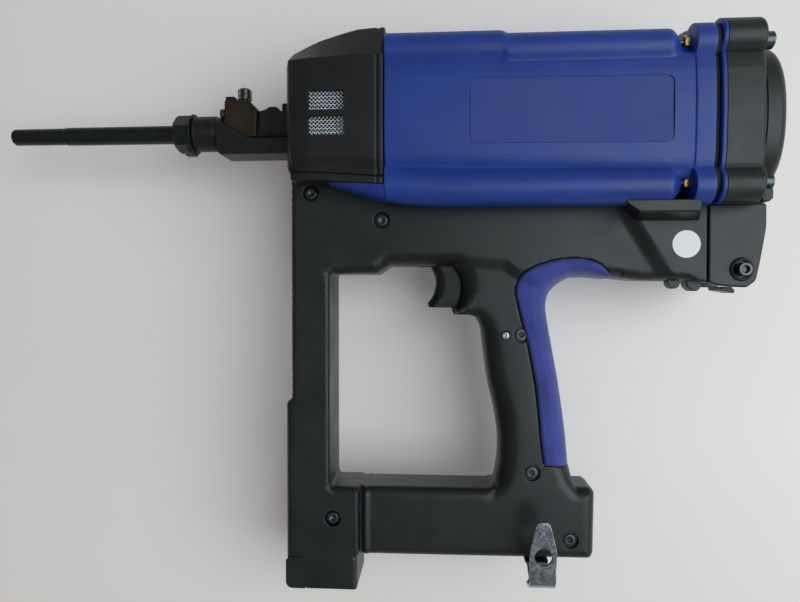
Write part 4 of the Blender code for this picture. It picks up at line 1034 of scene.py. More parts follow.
for rod in rods:
    bpy.data.objects.remove(rod)
tube("rear_seal", rounded_stations(219.2, 222.3, 0.5, 0.5, 3.2), 44.5, SEAL, rod_set(), body="root", slot="black_rubber", replaces=("rear_gasket",))
tube("spacer_ring", rounded_stations(222.5, 225.4, 1.2, 0.25, 0.0), 44.5, BLUE, rod_set(), body="root", slot="blue_paint", replaces=("rear_spacer_ring",))
tube("rear_cap", rounded_stations(225.7, 250.0, 0.3, 3.0, 0.0, 7), 30.0, COVER_BLACK, rod_set(), body="root", slot="black_plastic", replaces=("rear_cover",))
DOME_RINGS = [(250.3, 42.9, 49.7), (252.4, 42.9, 49.7), (252.8, 42.2, 49.0), (253.4, 42.2, 49.0), (253.8, 43.2, 50.0), (261.0, 43.1, 49.9), (263.2, 42.5, 49.5), (265.2, 41.0, 48.6), (267.0, 38.6, 47.3), (268.8, 35.0, 45.4), (270.8, 30.2, 42.6), (272.8, 24.4, 38.0), (274.8, 17.2, 29.5), (276.2, 9.6, 18.0), (276.9, 3.0, 6.0)]


def dome():
    bm = bmesh.new()
    rings = []
    for table, drop in ((DOME_RINGS, 0.0), (DOME_RINGS[::-1], 2.6)):
        for x, a, b in table:
            x, a, b = (x, a, b) if not drop else (x - drop if x > 255 else 250.3, max(a - drop, 0.8), max(b - drop, 0.8))
            if drop and 250.3 < x < 255:
                x = 250.3 + (x - 250.3) * 0.2
            ring = []
            for k in range(120):
                t = 2 * math.pi * k / 120
                c, s = math.cos(t), math.sin(t)
                n = 2.35
                ring.append((x, a * math.copysign(abs(c) ** (2 / n), c), AXIS + b * math.copysign(abs(s) ** (2 / n), s)))
            rings.append(ring)
    count = len(DOME_RINGS)
    outer, inner = rings[:count], [r for r in rings[count:] if r[0][0] > 254.0] + [[(250.3, p[1] * 0.94, AXIS + (p[2] - AXIS) * 0.945) for p in rings[0]]]
    made = [[bm.verts.new(p) for p in ring] for ring in outer]
    shell = [[bm.verts.new(p) for p in ring] for ring in inner]
    for group in (made, shell):
        for a, b in zip(group, group[1:]):
            ring_faces(bm, a, b)
    cap(bm, [made[-1]])
    cap(bm, [shell[0]])
    ring_faces(bm, shell[-1], made[0])
    finish("motor_dome", bm, COVER_BLACK, slot="black_plastic", replaces=("motor_cover",), sharp=30)
    for s, tag in ((-1, "left"), (1, "right")):
        lo, hi = both(s, 31.0, 44.6)
        slab(f"{tag}_cap_foot", [(249.6, 268.9, 0.3), (254.2, 268.8, 1.2), (256.6, 271.0, 1.0), (256.6, 277.4, 1.0), (249.6, 277.4, 0.3)], lo, hi, COVER_BLACK, 0.8, 0.8, slot="black_plastic")


dome()

for i, (y, z) in enumerate([(-38.0, 44.5), (38.0, 44.5), (-38.0, -46.0), (38.0, -46.0)]):
    turned(
        f"cap_screw_{i + 1}",
        [(199.2, 0, 0), (199.2, 1.8, 0.3), (199.8, 2.3, 0), (250.4, 2.3, 0), (250.5, 5.6, 0.2), (257.6, 5.6, 0), (258.2, 4.9, 0.2), (258.2, 3.3, 0.1), (257.8, 2.5, 0, "hex"), (254.5, 2.5, 0, "hex"), (253.6, 0, 0)],
        SCREW, "X", (y, AXIS + z), 48, slot="black_steel", replaces=(f"rear_screw_{i + 1}",),
    )
    bm = bmesh.new()
    add_turned(bm, [(202.4, 2.45, 0), (202.4, 3.9, 0), (203.1, 4.0, 0, "hex"), (205.8, 4.0, 0, "hex"), (206.4, 3.9, 0), (206.4, 2.45, 0)], "X", (y, AXIS + z), 48, 0.2, True)
    finish(f"rear_nut_{i + 1}", bm, BRASS, slot="brass")

# ------------------------------------------------------------------ front shroud with woven screens
TOP_LINE = [(-57.3, 368.0), (-56.2, 371.0), (-54.1, 373.3), (-45.0, 377.6), (-35.3, 381.6), (-21.3, 385.9), (-10.9, 388.6), (-2.0, 389.5), (8.4, 389.8)]
LOW_LINE = [(-57.3, 295.4), (-55.8, 292.6), (-54.3, 290.6), (-53.5, 289.4), (-53.1, 285.3), (-52.0, 284.8), (-31.4, 284.4), (-13.4, 283.1), (5.6, 281.7), (9.0, 281.5)]


def shroud_loop(x, inset=0.0, thin=0.0):
    high = interp(x, TOP_LINE)[0]
    low = interp(x, LOW_LINE)[0]
    half = 50.0 - 6.4 * (1 - smooth((x + 57.3) / 3.2)) - 0.8 * (1 - smooth((x + 54.0) / 12.0))
    flat = 35.0 - 1.5 * (1 - smooth((x + 57.3) / 22.0))
    crease = 363.6 + (x + 51.9) * 0.052 - 1.5 * (1 - smooth((x + 57.3) / 2.5))
    floor = max(low + 1.5, 291.1)
    lip = smooth((x + 53.6) / 0.7)
    corners = [
        (-28.0, floor, 1), (28.0, floor, 1), (31.0, low, 1), (half - 0.7, low, 1.2), (half - 0.4, low + 4.9, 1.0),
        (half - 0.6 - 3.0 * lip, low + 6.4, 0.8), (half - 2.8 * lip, low + 9.6, 4.0), (half, low + 17.0, 10.0), (half, crease, 1.6), (flat, high, 3.4), (-flat, high, 3.4),
        (-half, crease, 1.6), (-half, low + 17.0, 10.0), (-half + 2.8 * lip, low + 9.6, 4.0), (-half + 0.6 + 3.0 * lip, low + 6.4, 0.8), (-half + 0.4, low + 4.9, 1.0), (-half + 0.7, low, 1.2), (-31.0, low, 1),
    ]
    if inset:
        corners = offset_corners(corners, inset)
    return rounded(corners, 6, even=True)


def shroud():
    bm = bmesh.new()
    outer_x = [(-57.3, 1.8), (-57.1, 1.0), (-56.6, 0.35), (-55.9, 0.0), (-54.8, 0), (-54.2, 0), (-53.7, 0), (-53.4, 0), (-53.1, 0), (-52.8, 0), (-52.0, 0), (-51.0, 0), (-47.0, 0), (-42.0, 0), (-38.5, 0), (-35.3, 0), (-32.0, 0), (-26.0, 0), (-21.3, 0), (-16.0, 0), (-10.9, 0), (-5.0, 0), (0.5, 0),
               (2.4, 0), (2.8, 0.08), (3.1, 0.35), (3.5, 0.5), (4.3, 0.5), (4.7, 0.35), (5.0, 0.08), (5.4, 0.0), (7.0, 0.0), (7.8, 0.3), (8.2, 0.8), (8.4, 1.4)]
    outer = [[bm.verts.new((x, y, z)) for y, z in shroud_loop(x, d)] for x, d in outer_x]
    inner_x = [8.4, -5.0, -20.0, -35.3, -50.0, -53.6]
    inner = [[bm.verts.new((x, y, z)) for y, z in shroud_loop(max(x, -50.0), 2.9)] for x in inner_x]
    for rings in (outer, inner):
        for a, b in zip(rings, rings[1:]):
            ring_faces(bm, a, b)
    cap(bm, [outer[0]])
    cap(bm, [inner[-1]])
    ring_faces(bm, outer[-1], inner[0])
    obj = finish("front_cowl", bm, SHROUD_BLACK, ride=False)
    boolean(obj, slab("opening", [(y, z, 2.5) for y, z in ((-15.2, 308.5), (15.2, 308.5), (15.2, 350.0), (-15.2, 350.0))], -62.0, -48.0, None, 0, 0, "X", ride=False))
    for s in (-1, 1):
        for z0, z1 in ((314.4, 326.7), (331.0, 343.4)):
            lo, hi = both(s, 40.0, 49.3)
            boolean(obj, slab("window", rect(-41.2, -17.4, z0, z1, 0.8), lo, hi, None, 0, 0, ride=False))
            bm2 = bmesh.new()
            outer_loop = rounded(rect(-41.9, -16.7, z0 - 0.7, z1 + 0.7, 1.4), 4)
            inner_loop = rounded(rect(-41.2, -17.4, z0, z1, 0.8), 4)
            loft(bm2, [[(x, s * 48.9, z) for x, z in inner_loop], [(x, s * 49.25, z) for x, z in inner_loop], [(x, s * 51.5, z) for x, z in outer_loop]])
            boolean(obj, finish("window_edge", bm2, None, ride=False))
    return settle(obj, "root", "black_plastic", ("front_shroud",), 28)


shroud()


def woven_screen(side):
    """Plain-weave wire cloth laid at 45 degrees behind the windows."""
    x0, x1, z0, z1 = -43.8, -14.8, 312.0, 346.4
    pitch, wire, wave = 1.85, 0.33, 0.33
    bm = bmesh.new()
    centre = np.array([(x0 + x1) / 2, (z0 + z1) / 2])
    reach = 48.0
    for family, (du, dv) in enumerate((((1, 1), (1, -1)), ((1, -1), (1, 1)))):
        u = np.array(du) / math.sqrt(2)
        v = np.array(dv) / math.sqrt(2)
        count = int(reach / pitch / 2)
        for k in range(-count, count + 1):
            line = centre + v * k * pitch
            # clip the line to the frame
            t_lo, t_hi = -reach, reach
            for axis, (a, b) in enumerate(((x0, x1), (z0, z1))):
                ta, tb = (a - line[axis]) / u[axis], (b - line[axis]) / u[axis]
                t_lo, t_hi = max(t_lo, min(ta, tb)), min(t_hi, max(ta, tb))
            if t_hi - t_lo < 1.0:
                continue
            steps = max(3, int((t_hi - t_lo) / (pitch / 4)))
            rings = []
            for t in np.linspace(t_lo, t_hi, steps):
                p = line + u * t
                phase = math.pi * (t / pitch + (k if family == 0 else k + 1) + 0.0)
                y = 45.4 + wave * math.cos(phase) * (1 if family == 0 else 1)
                rings.append([(p[0] + v[0] * wire * math.cos(a), side * (y + wire * math.sin(a)), p[1] + v[1] * wire * math.cos(a)) for a in (0.6, 1.857, 3.113, 4.37, 5.627)])
            made = loft(bm, rings, caps=False)
            bm.faces.new(made[0])
            bm.faces.new(made[-1])
    tag = "left" if side < 0 else "right"
    bmesh.ops.recalc_face_normals(bm, faces=bm.faces[:])
    obj = finish(f"{tag}_wire_cloth", bm, WIRE, slot="steel_mesh", replaces=(f"filter_screen_{tag}",), sharp=180, weighted=False)
    # clamping frame of the cloth
    bm = bmesh.new()
    lo, hi = both(side, 44.7, 46.2)
    add_slab(bm, rect(-44.6, -14.0, 311.2, 347.2, 1.0), lo, hi, 0.2, 0.2)
    rim = finish(f"{tag}_screen_rim", bm, DARK_STEEL, ride=False)
    lo, hi = both(side, 43.0, 48.0)
    boolean(rim, slab("rim_cut", rect(-43.0, -15.6, 312.8, 345.6, 0.5), lo, hi, None, 0, 0, ride=False))
    settle(rim, "root", "steel_mesh")
    return obj


woven_screen(-1)
woven_screen(1)

# ------------------------------------------------------------------ nose group
NOSE = "nose"
turned(
    "guide_tube",
    [(-277.0, 4.0, 0), (-277.0, 5.1, 0.3), (-275.8, 6.0, 0.6), (-236.2, 6.1, 0.2), (-235.2, 6.55, 0.3), (-137.0, 6.7, 0), (-137.0, 4.0, 0)],
    DARK_STEEL, steps=72, closed=True, body=NOSE, slot="black_steel", replaces=("muzzle_tube",), sharp=28,
)


def hex_nut():
    bm = bmesh.new()
    turn = math.radians(44.5)
    flat = 11.95
    corners = [(flat / math.cos(math.pi / 6) * math.cos(turn + k * math.pi / 3), AXIS + flat / math.cos(math.pi / 6) * math.sin(turn + k * math.pi / 3), 0.5) for k in range(6)]
    add_slab(bm, corners, -149.4, -137.4, 0.15, 0.15, "X", 4, 2)
    nut = finish("tube_nut", bm, DARK_STEEL, ride=False)
    cone = turned("cone", [(-149.6, 0, 0), (-149.6, 12.2, 0), (-148.0, 14.2, 0), (-138.4, 14.2, 0), (-137.2, 13.2, 0), (-137.2, 0, 0)], None, steps=96, ride=False)
    boolean(nut, cone, "INTERSECT")
    boolean(nut, turned("bore", [(-152.0, 0, 0), (-152.0, 8.2, 0), (-148.4, 7.0, 0), (-135.0, 7.0, 0), (-135.0, 0, 0)], None, steps=64, turn=0.02, ride=False))
    return settle(nut, NOSE, "black_steel", ("hex_nut",), 25)


hex_nut()


def washer():
    obj = turned("tab_washer", [(-137.2, 7.1, 0), (-137.2, 14.6, 0.3), (-136.1, 14.6, 0.3), (-136.1, 7.1, 0)], DARK_STEEL, steps=80, closed=True, ride=False)
    tab = [(-143.2, -16.0, 0.3), (-136.1, -16.0, 1.2), (-136.1, -12.2, 0), (-137.2, -12.2, 0), (-137.2, -14.9, 0.5), (-143.2, -14.9, 0.3)]
    boolean(obj, slab("tab", [(x, AXIS + z, r) for x, z, r in tab], -3.6, 3.6, None, 0.3, 0.3, ride=False), "UNION")
    return settle(obj, NOSE, "black_steel", ("lock_washer",), 30)


washer()


def nose_body():
    obj = turned(
        "nose_casting",
        [(-135.9, 4.0, 0), (-135.9, 11.6, 0), (-134.9, 12.7, 0.4), (-133.6, 12.7, 0.2), (-133.3, 12.2, 0.2), (-132.6, 12.2, 0.2), (-132.3, 12.8, 0.2), (-119.2, 12.8, 0.3), (-118.6, 12.1, 0.3), (-114.6, 12.1, 0.6), (-113.6, 8.0, 0.4), (-51.0, 8.0, 0), (-51.0, 4.0, 0)],
        CASTING, steps=80, closed=True, ride=False,
    )
    block = [(-117.5, 314.2, 2.5), (-113.6, 310.7, 2.6), (-51.0, 310.7, 0.2), (-51.0, 322.4, 0.2), (-90.0, 322.6, 5.0), (-96.0, 324.6, 8.0), (-108.5, 332.6, 4.0), (-114.8, 335.2, 2.0), (-117.6, 332.0, 3.0)]
    boolean(obj, slab("block", block, -14.0, 14.0, None, 2.4, 2.4, "Y", 8, 5, ride=False), "UNION")
    boolean(obj, turned("bore", [(-140.0, 0, 0), (-140.0, 4.0, 0), (-40.0, 4.0, 0), (-40.0, 0, 0)], None, steps=48, turn=0.03, ride=False))
    return settle(obj, NOSE, "black_casting", ("nose_body",), 30)


nose_body()


def nose_bits():
    plate = [(-110.7, 333.2, 0.6), (-107.6, 329.6, 4.0), (-100.0, 324.8, 6.0), (-92.0, 323.4, 1.5), (-87.6, 323.6, 0.6), (-86.9, 341.8, 2.0), (-92.4, 349.6, 1.6), (-110.7, 349.8, 0.7)]
    obj = slab("bronze_bracket", plate, -11.5, 11.5, BRONZE, 0.7, 0.7, "Y", 8, 4, ride=False)
    boolean(obj, slab("way", rect(-8.8, 8.8, 315.0, 346.4, 1.0), -112.5, -84.0, None, 0, 0, "X", ride=False))
    boolean(obj, turned("hole", [(340.0, 0, 0), (340.0, 2.7, 0), (355.0, 2.7, 0), (355.0, 0, 0)], None, "Z", (-99.0, 0.0), 32, 0.02, ride=False))
    settle(obj, NOSE, "bronze_plate", ("nose_bracket",), 30)
    slab("bracket_spacer", rect(-110.9, -104.2, 350.1, 353.5, 0.5), -8.4, 8.4, DARK_STEEL, 0.5, 0.5, slot="black_steel", body=NOSE, replaces=("nose_spacer",))
    slab("bracket_spacer_rear", [(-93.6, 349.7, 0.3), (-92.0, 349.2, 0.5), (-86.4, 342.6, 0.8), (-86.6, 340.8, 0.4), (-88.6, 340.4, 0.4), (-91.4, 343.4, 0.4), (-94.2, 346.6, 0.4), (-94.4, 349.4, 0.3)], -12.0, -8.9, DARK_STEEL, 0.5, 0.3, slot="black_steel", body=NOSE)
    # knurled cap screw standing on the bracket
    bm = bmesh.new()
    teeth = 30
    rings = []
    for z, r, knurl in ((346.6, 2.4, 0), (352.7, 2.4, 0), (352.7, 4.55, 0), (353.2, 4.85, 0.22), (359.6, 4.85, 0.22), (360.3, 4.6, 0.0), (360.9, 4.1, 0.0)):
        ring = []
        for i in range(teeth * 4):
            a = 2 * math.pi * i / (teeth * 4)
            rr = r + knurl * (1 if i % 4 < 2 else -1)
            ring.append((-99.0 + rr * math.cos(a), rr * math.sin(a), z))
        rings.append(ring)
    for z, r, is_hex in ((360.9, 2.9, False), (360.6, 2.2, True), (357.4, 2.15, True)):
        rings.append([(-99.0 + (hexagon(a, r) if is_hex else r) * math.cos(a), (hexagon(a, r) if is_hex else r) * math.sin(a), z) for a in (2 * math.pi * i / (teeth * 4) for i in range(teeth * 4))])
    loft(bm, rings)
    finish("knurled_screw", bm, SCREW, body=NOSE, slot="black_steel", replaces=("nose_cap_screw",), sharp=25)
    # small cheese-head screw in front of the bracket
    turned("side_screw", [(-108.0, 0, 0), (-108.0, 1.6, 0), (-111.0, 1.6, 0), (-111.0, 3.6, 0.25), (-113.7, 3.6, 0.6), (-113.7, 1.9, 0.1), (-113.4, 1.45, 0, "hex"), (-112.2, 1.4, 0, "hex"), (-112.0, 0, 0)],
           SCREW, "X", (-9.4, 340.4), 48, body=NOSE, slot="black_steel", replaces=("nose_side_screw",))
    # clamp saddle between bracket and shroud, with its round lugs
    saddle = [(-86.4, 323.2, 0.5), (-62.0, 323.2, 0.4), (-62.0, 341.6, 1.0), (-70.0, 342.6, 1.5), (-73.2, 345.6, 2.5), (-78.0, 345.9, 3.0), (-82.0, 343.6, 2.5), (-86.4, 342.6, 1.0)]
    obj = slab("clamp_saddle", saddle, -9.0, 9.0, CASTING, 1.6, 1.6, "Y", 8, 4, ride=False)
    boolean(obj, slab("top_lug", [(-69.6, 340.0, 0.4), (-61.8, 340.0, 0.4), (-61.8, 348.4, 1.0), (-69.6, 348.4, 1.6)], -7.0, 7.0, None, 0.8, 0.8, ride=False), "UNION")
    boolean(obj, turned("bore", [(-95.0, 0, 0), (-95.0, 8.3, 0), (-50.0, 8.3, 0), (-50.0, 0, 0)], None, steps=64, turn=0.04, ride=False))
    boolean(obj, slab("foot", rect(-10.0, 10.0, 316.0, 327.0), -95.0, -50.0, None, 0, 0, "X", ride=False))
    settle(obj, NOSE, "black_casting", ("nose_clamp",), 30)


nose_bits()

# ------------------------------------------------------------------ trigger


def trigger():
    line = cubic([(37.4, 200.0), (36.4, 201.6), (36.6, 203.4), (39.4, 207.1), (41.2, 211.8), (42.2, 217.3), (41.4, 222.9), (38.9, 228.0), (38.2, 230.0)], 4)
    bm = bmesh.new()
    rings = []
    for k, (x, z) in enumerate(line):
        z = max(z, 200.0)
        ease = 0.5 if k == 0 else 0.0
        half = 7.6 - ease
        ring = []
        widest = math.radians(62)
        for j in range(25):
            a = -widest + 2 * widest * j / 24
            ring.append((x + ease + 7.4 * (1 - math.cos(a)) / (1 - math.cos(widest)), half * math.sin(a) / math.sin(widest), z))
        ring += [(65.5, half, z), (66.0, half - 0.5, z), (66.0, -half + 0.5, z), (65.5, -half, z)]
        rings.append(ring)
    loft(bm, rings)
    finish("trigger_blade", bm, BLACK, body="trigger_body", slot="black_plastic", replaces=("trigger",), sharp=40)
    slab("trigger_foot", [(37.0, 4.6, 3.0), (41.5, 8.0, 2.0), (55.4, 8.0, 1.0), (55.4, -8.0, 1.0), (41.5, -8.0, 2.0), (37.0, -4.6, 3.0)], 199.95, 202.6, BLACK, 0.6, 0.6, "Z", body="trigger_body", slot="black_plastic")


trigger()

# ------------------------------------------------------------------ gas cell door
DOOR_SIDE = [(224.4, 217.4, 1.2), (231.0, 215.4, 6), (240.0, 214.6, 20), (249.8, 214.2, 4), (255.6, 218.7, 6), (258.2, 231.0, 40), (262.0, 253.8, 30), (262.1, 270.4, 2.2), (224.4, 270.4, 1.0)]
PIVOT = (246.0, 226.3)


def fuel_door():
    obj = slab("cell_door", DOOR_SIDE, -REAR_H + 0.1, REAR_H - 0.1, BLACK, 1.6, 1.6, "Y", 10, 6, ride=False)
    inner = [(220.0, 200.0, 0), (252.5, 200.0, 0), (252.5, 214.0, 3), (258.0, 224.0, 3), (255.4, 229.0, 3), (258.9, 252.0, 10), (258.8, 266.8, 2), (220.0, 266.8, 0)]
    boolean(obj, slab("door_inside", inner, -22.0, 22.0, None, 0, 0, "Y", 6, ride=False))
    boolean(obj, turned("pin", [(-40.0, 0, 0), (-40.0, 3.35, 0), (40.0, 3.35, 0), (40.0, 0, 0)], None, "Y", PIVOT, 48, 0.02, ride=False))
    ring = turned("ring", [(-REAR_H + 0.8, 5.9, 0), (-REAR_H - 1.3, 6.0, 0.3), (-REAR_H - 1.6, 6.6, 0.3), (-REAR_H - 1.2, 7.5, 0.4), (-REAR_H - 0.2, 8.0, 0.4), (-REAR_H + 0.8, 8.3, 0)], None, "Y", PIVOT, 72, closed=True, ride=False)
    boolean(obj, ring, "UNION")
    well = turned("well", [(-REAR_H - 3.0, 0, 0), (-REAR_H - 3.0, 5.85, 0), (-REAR_H + 1.4, 5.85, 0), (-REAR_H + 1.4, 0, 0)], None, "Y", PIVOT, 72, 0.01, ride=False)
    boolean(obj, well)
    return settle(obj, "door_body", "black_plastic", ("fuel_door",), 30)


fuel_door()
turned(
    "hinge_bolt",
    [(-REAR_H - 6.4, 0, 0), (-REAR_H - 6.4 + 2.6, 0, 0)][:0]
    + [(25.2, 0, 0), (25.2, 3.1, 0), (-REAR_H + 1.1, 3.1, 0), (-REAR_H + 1.1, 4.5, 0.2), (-REAR_H - 5.9, 4.5, 0.6), (-REAR_H - 6.0, 2.9, 0.15), (-REAR_H - 5.7, 2.2, 0, "hex"), (-REAR_H - 2.6, 2.15, 0, "hex"), (-REAR_H - 2.0, 0, 0)],
    SCREW, "Y", PIVOT, 60, 0.2, slot="black_steel", replaces=("door_bolt",),
)
latch = slab("finger_latch", [(239.2, 212.2, 0.8), (246.4, 211.0, 0.5), (248.8, 210.2, 0.5), (249.0, 212.4, 0.5), (247.0, 214.6, 0.5), (239.2, 214.9, 0.5)], -10.0, 10.0, BLACK, 0.6, 0.6, "Y", 4, ride=False)

settle(latch, "door_latch_body", "black_plastic", ("door_latch",), 30)

# ------------------------------------------------------------------ battery latch and pack
slab("latch_button", [(-64.0, 0.4, 4.6), (-49.7, 0.4, 0.6), (-49.7, 22.7, 3.2), (-61.0, 22.7, 3.0), (-64.0, 20.4, 1.0)], -BEAM_H + 0.25, -BEAM_H + 1.3, BLACK, 0.4, 0.0, "Y", 6, 3, body="battery_latch_body", slot="black_plastic", replaces=("battery_latch",))
slab("pack_case", rect(-60.2, -17.1, 0.5, 42.6, 2.0), -18.0, 18.0, BLACK, 1.6, 1.6, "Y", 5, 4, body="battery_body", slot="black_plastic", replaces=("battery_pack",))

# ------------------------------------------------------------------ belt hook


def hook():
    t = 1.9
    line = cubic([(-2.5, 22.5), (-9.0, 22.5), (-15.0, 22.4), (-18.6, 20.8), (-19.8, 18.2), (-21.0, 15.6), (-24.4, 13.8), (-30.0, 13.4), (-37.0, 14.4), (-42.8, 17.2), (-45.9, 21.0), (-46.5, 26.0)], 4)
    path = []
    for y, z in line:
        k = min(1.0, max(0.0, (-y - 16.0) / 14.0))
        path.append((y, z, 104.9 + 2.2 * math.sin(math.pi * min(k, 1.0)) - 0.6 * k, 121.2 - 0.9 * math.sin(math.pi * k)))
    path += [(-46.5, 29.0, 104.2, 121.0), (-46.5, 33.0, 104.2, 121.4), (-46.6, 40.0, 104.2, 121.9), (-46.6, 42.6, 104.3, 121.6), (-46.7, 47.0, 105.2, 120.6), (-46.9, 52.0, 106.3, 119.3), (-47.0, 56.4, 107.3, 118.3), (-47.0, 59.2, 108.3, 117.3), (-47.0, 60.4, 109.3, 116.4), (-47.0, 61.0, 111.0, 115.0)]
    rings = []
    for i, (y, z, x0, x1) in enumerate(path):
        ay, az = path[max(i - 1, 0)][:2]
        by, bz = path[min(i + 1, len(path) - 1)][:2]
        run = Vector((by - ay, bz - az)).normalized()
        ny, nz = -run.y, run.x
        corners = [(x0, -t / 2, 0.45), (x1, -t / 2, 0.45), (x1, t / 2, 0.45), (x0, t / 2, 0.45)]
        rings.append([(x, y + ny * d, z + nz * d) for x, d in rounded(corners, 3)])
    bm = bmesh.new()
    loft(bm, rings)
    obj = finish("hook_strip", bm, CHROME, ride=False)
    boolean(obj, turned("window", [(-60.0, 0, 0), (-60.0, 5.7, 0), (-40.0, 5.7, 0), (-40.0, 0, 0)], None, "Y", (113.0, 38.0), 64, 0.02, ride=False))
    boolean(obj, turned("chamfer", [(-48.0, 0, 0), (-48.0, 6.6, 0), (-47.1, 5.6, 0), (-47.1, 0, 0)], None, "Y", (113.0, 38.0), 64, 0.02, ride=False))
    boolean(obj, turned("seat", [(15.0, 0, 0), (15.0, 2.4, 0), (30.0, 2.4, 0), (30.0, 0, 0)], None, "Z", (113.0, -8.0), 32, 0.02, ride=False))
    settle(obj, "root", "bright_steel", ("belt_hook",), 30)
    turned("hook_bolt", [(30.0, 0, 0), (30.0, 1.9, 0), (21.4, 1.9, 0), (21.4, 4.3, 0.1), (20.2, 4.3, 0.6), (20.0, 2.2, 0.1), (20.2, 1.7, 0, "hex"), (21.8, 1.6, 0, "hex"), (22.0, 0, 0)],
           BRIGHT, "Z", (113.0, -8.0), 48, slot="bright_steel", replaces=("hook_screw",))


hook()

# ------------------------------------------------------------------ CAD nodes that keep their shape
KEEP = {
    "lifter": DARK_STEEL, "combustion_sleeve": SLEEVE, "probe_spring": BRIGHT, "cylinder": ALLOY, "bumper": SEAL, "piston": ALLOY, "piston_ring": BRIGHT,
    "driver_blade": BRIGHT, "cylinder_head": ALLOY, "fan_motor": BRIGHT, "fan": INNER, "spark_plug": CERAMIC, "fuel_cell": CELL, "fuel_valve": BRASS,
    "fuel_line": BRASS, "trigger_spring": BRIGHT, "trigger_switch": INNER, "door_hinge_bracket": BLACK, "battery_terminal": BRASS,
    "control_board": BOARD, "ignition_coil": INNER,
}
for node, mat in KEEP.items():
    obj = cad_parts[node]
    obj.data.materials.clear()
    obj.data.materials.append(mat)
    obj.data.set_sharp_from_angle(angle=math.radians(32))
    if node in ("trigger_switch", "ignition_coil", "door_hinge_bracket", "control_board", "battery_terminal"):
        bevel = obj.modifiers.new("edge", "BEVEL")
        bevel.width = 0.0004
        bevel.segments = 2
        bevel.limit_method = "ANGLE"
        bevel.angle_limit = math.radians(40)

# ------------------------------------------------------------------ stage, light, camera


def stage_material(name, color, rough):
    g = Graph(name)
    cloud = g.noise(0.004, 2.0, 0.5)
    g.set(Base_Color=g.mix(g.span(cloud, 0.3, 0.7), tinted(color, 0.985), tinted(color, 1.015)), Roughness=rough, Specular_IOR_Level=0.35, Emission_Color=(1.0, 1.0, 0.98), Emission_Strength=0.07)
    # seen from behind the sheet vanishes, so that the object can be looked at from every side
    geometry = g.add("ShaderNodeNewGeometry")
    clear = g.add("ShaderNodeBsdfTransparent")
    mix = g.add("ShaderNodeMixShader")
    g.link(geometry.outputs["Backfacing"], mix.inputs[0])
    g.link(g.bsdf.outputs[0], mix.inputs[1])
    g.link(clear.outputs[0], mix.inputs[2])
    g.link(mix.outputs[0], g.out.inputs["Surface"])
    return g.mat


def sweep():
    """Pale table top on which the tool lies on its right side."""
    bm = bmesh.new()
    corners = [bm.verts.new(p) for p in ((-3.5, 0.0565, -3.0), (3.5, 0.0565, -3.0), (3.5, 0.0565, 3.4), (-3.5, 0.0565, 3.4))]
    bm.faces.new(corners)
    mesh = bpy.data.meshes.new("table_top")
    bm.to_mesh(mesh)
    bm.free()
    mesh.materials.append(stage_material("pale_floor", (0.93, 0.865, 0.83), 0.4))
    obj = bpy.data.objects.new("table_top", mesh)
    bpy.context.scene.collection.objects.link(obj)
    obj.visible_shadow = False


sweep()


def area(name, place, target, size, power, color):
    light = bpy.data.lights.new(name, "AREA")
    light.shape = "RECTANGLE"
    light.size, light.size_y = size
    light.energy = power
    light.color = color
    obj = bpy.data.objects.new(name, light)
    obj.location = place
    obj.rotation_mode = "QUATERNION"
    obj.rotation_quaternion = (Vector(target) - Vector(place)).to_track_quat("-Z", "Y")
    bpy.context.scene.collection.objects.link(obj)
    return obj


area("window", (1.22, -1.66, 0.24), (0.0, 0.0, 0.2), (2.0, 1.7), 27.0, (0.90, 1.0, 1.03))
area("behind", (-0.1, 2.2, 0.3), (0.0, 0.0, 0.2), (2.0, 1.4), 14.0, (1.0, 1.0, 1.0))

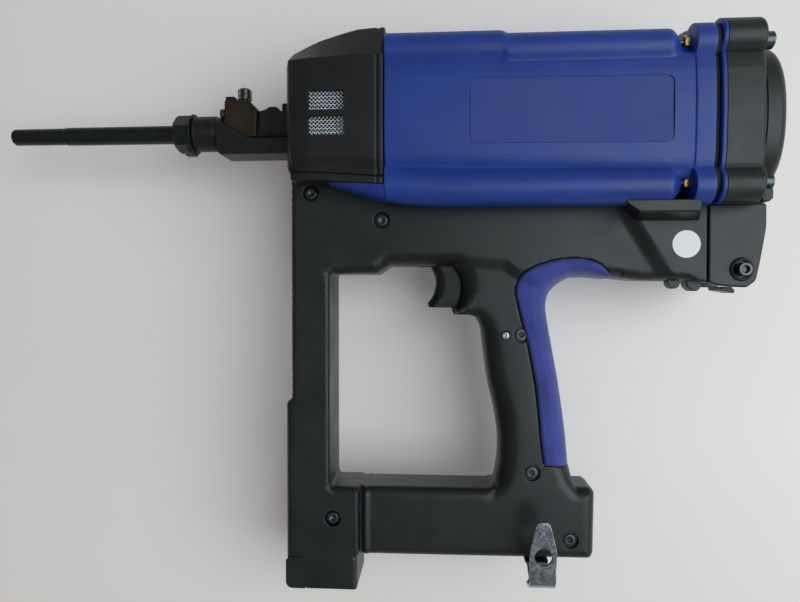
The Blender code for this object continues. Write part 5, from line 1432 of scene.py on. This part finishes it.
# the room: bright wall beyond the window side, dim on the left; the lens itself sees a plain pale ground
world = bpy.data.worlds.new("studio")
world.use_nodes = True
tree = world.node_tree
tree.nodes.clear()
coordinate = tree.nodes.new("ShaderNodeTexCoord")
split = tree.nodes.new("ShaderNodeSeparateXYZ")
tree.links.new(coordinate.outputs["Generated"], split.inputs[0])
spread = tree.nodes.new("ShaderNodeMapRange")
spread.inputs["From Min"].default_value = -0.9
spread.inputs["From Max"].default_value = 0.9
spread.inputs["To Min"].default_value = 0.13
spread.inputs["To Max"].default_value = 0.36
tree.links.new(split.outputs["X"], spread.inputs["Value"])
path = tree.nodes.new("ShaderNodeLightPath")
choose = tree.nodes.new("ShaderNodeMix")
choose.data_type = "FLOAT"
tree.links.new(path.outputs["Is Camera Ray"], choose.inputs[0])
tree.links.new(spread.outputs["Result"], choose.inputs[2])
fade = tree.nodes.new("ShaderNodeMapRange")
fade.inputs["From Min"].default_value = -0.5
fade.inputs["From Max"].default_value = 0.45
fade.inputs["To Min"].default_value = 0.53
fade.inputs["To Max"].default_value = 0.71
tree.links.new(split.outputs["X"], fade.inputs["Value"])
tree.links.new(fade.outputs["Result"], choose.inputs[3])
background = tree.nodes.new("ShaderNodeBackground")
background.inputs["Color"].default_value = (1.0, 1.0, 0.985, 1.0)
tree.links.new(choose.outputs[0], background.inputs["Strength"])
world_out = tree.nodes.new("ShaderNodeOutputWorld")
tree.links.new(background.outputs[0], world_out.inputs["Surface"])
bpy.context.scene.world = world

camera_data = bpy.data.cameras.new("camera")
camera_data.lens = 27.99
camera_data.sensor_width = 36.0
camera = bpy.data.objects.new("camera", camera_data)
yaw, pitch = math.radians(3.77), math.radians(1.01)
right = Vector((math.cos(yaw), math.sin(yaw), 0.0))
forward = Vector((-math.sin(yaw) * math.cos(pitch), math.cos(yaw) * math.cos(pitch), -math.sin(pitch)))
up = right.cross(forward)
camera.matrix_world = Matrix(((right.x, up.x, -forward.x, 0.04605), (right.y, up.y, -forward.y, -0.455), (right.z, up.z, -forward.z, 0.21249), (0, 0, 0, 1)))
camera_data.clip_start = 0.01
bpy.context.scene.collection.objects.link(camera)
bpy.context.scene.camera = camera
bpy.context.scene.view_settings.view_transform = "Standard"
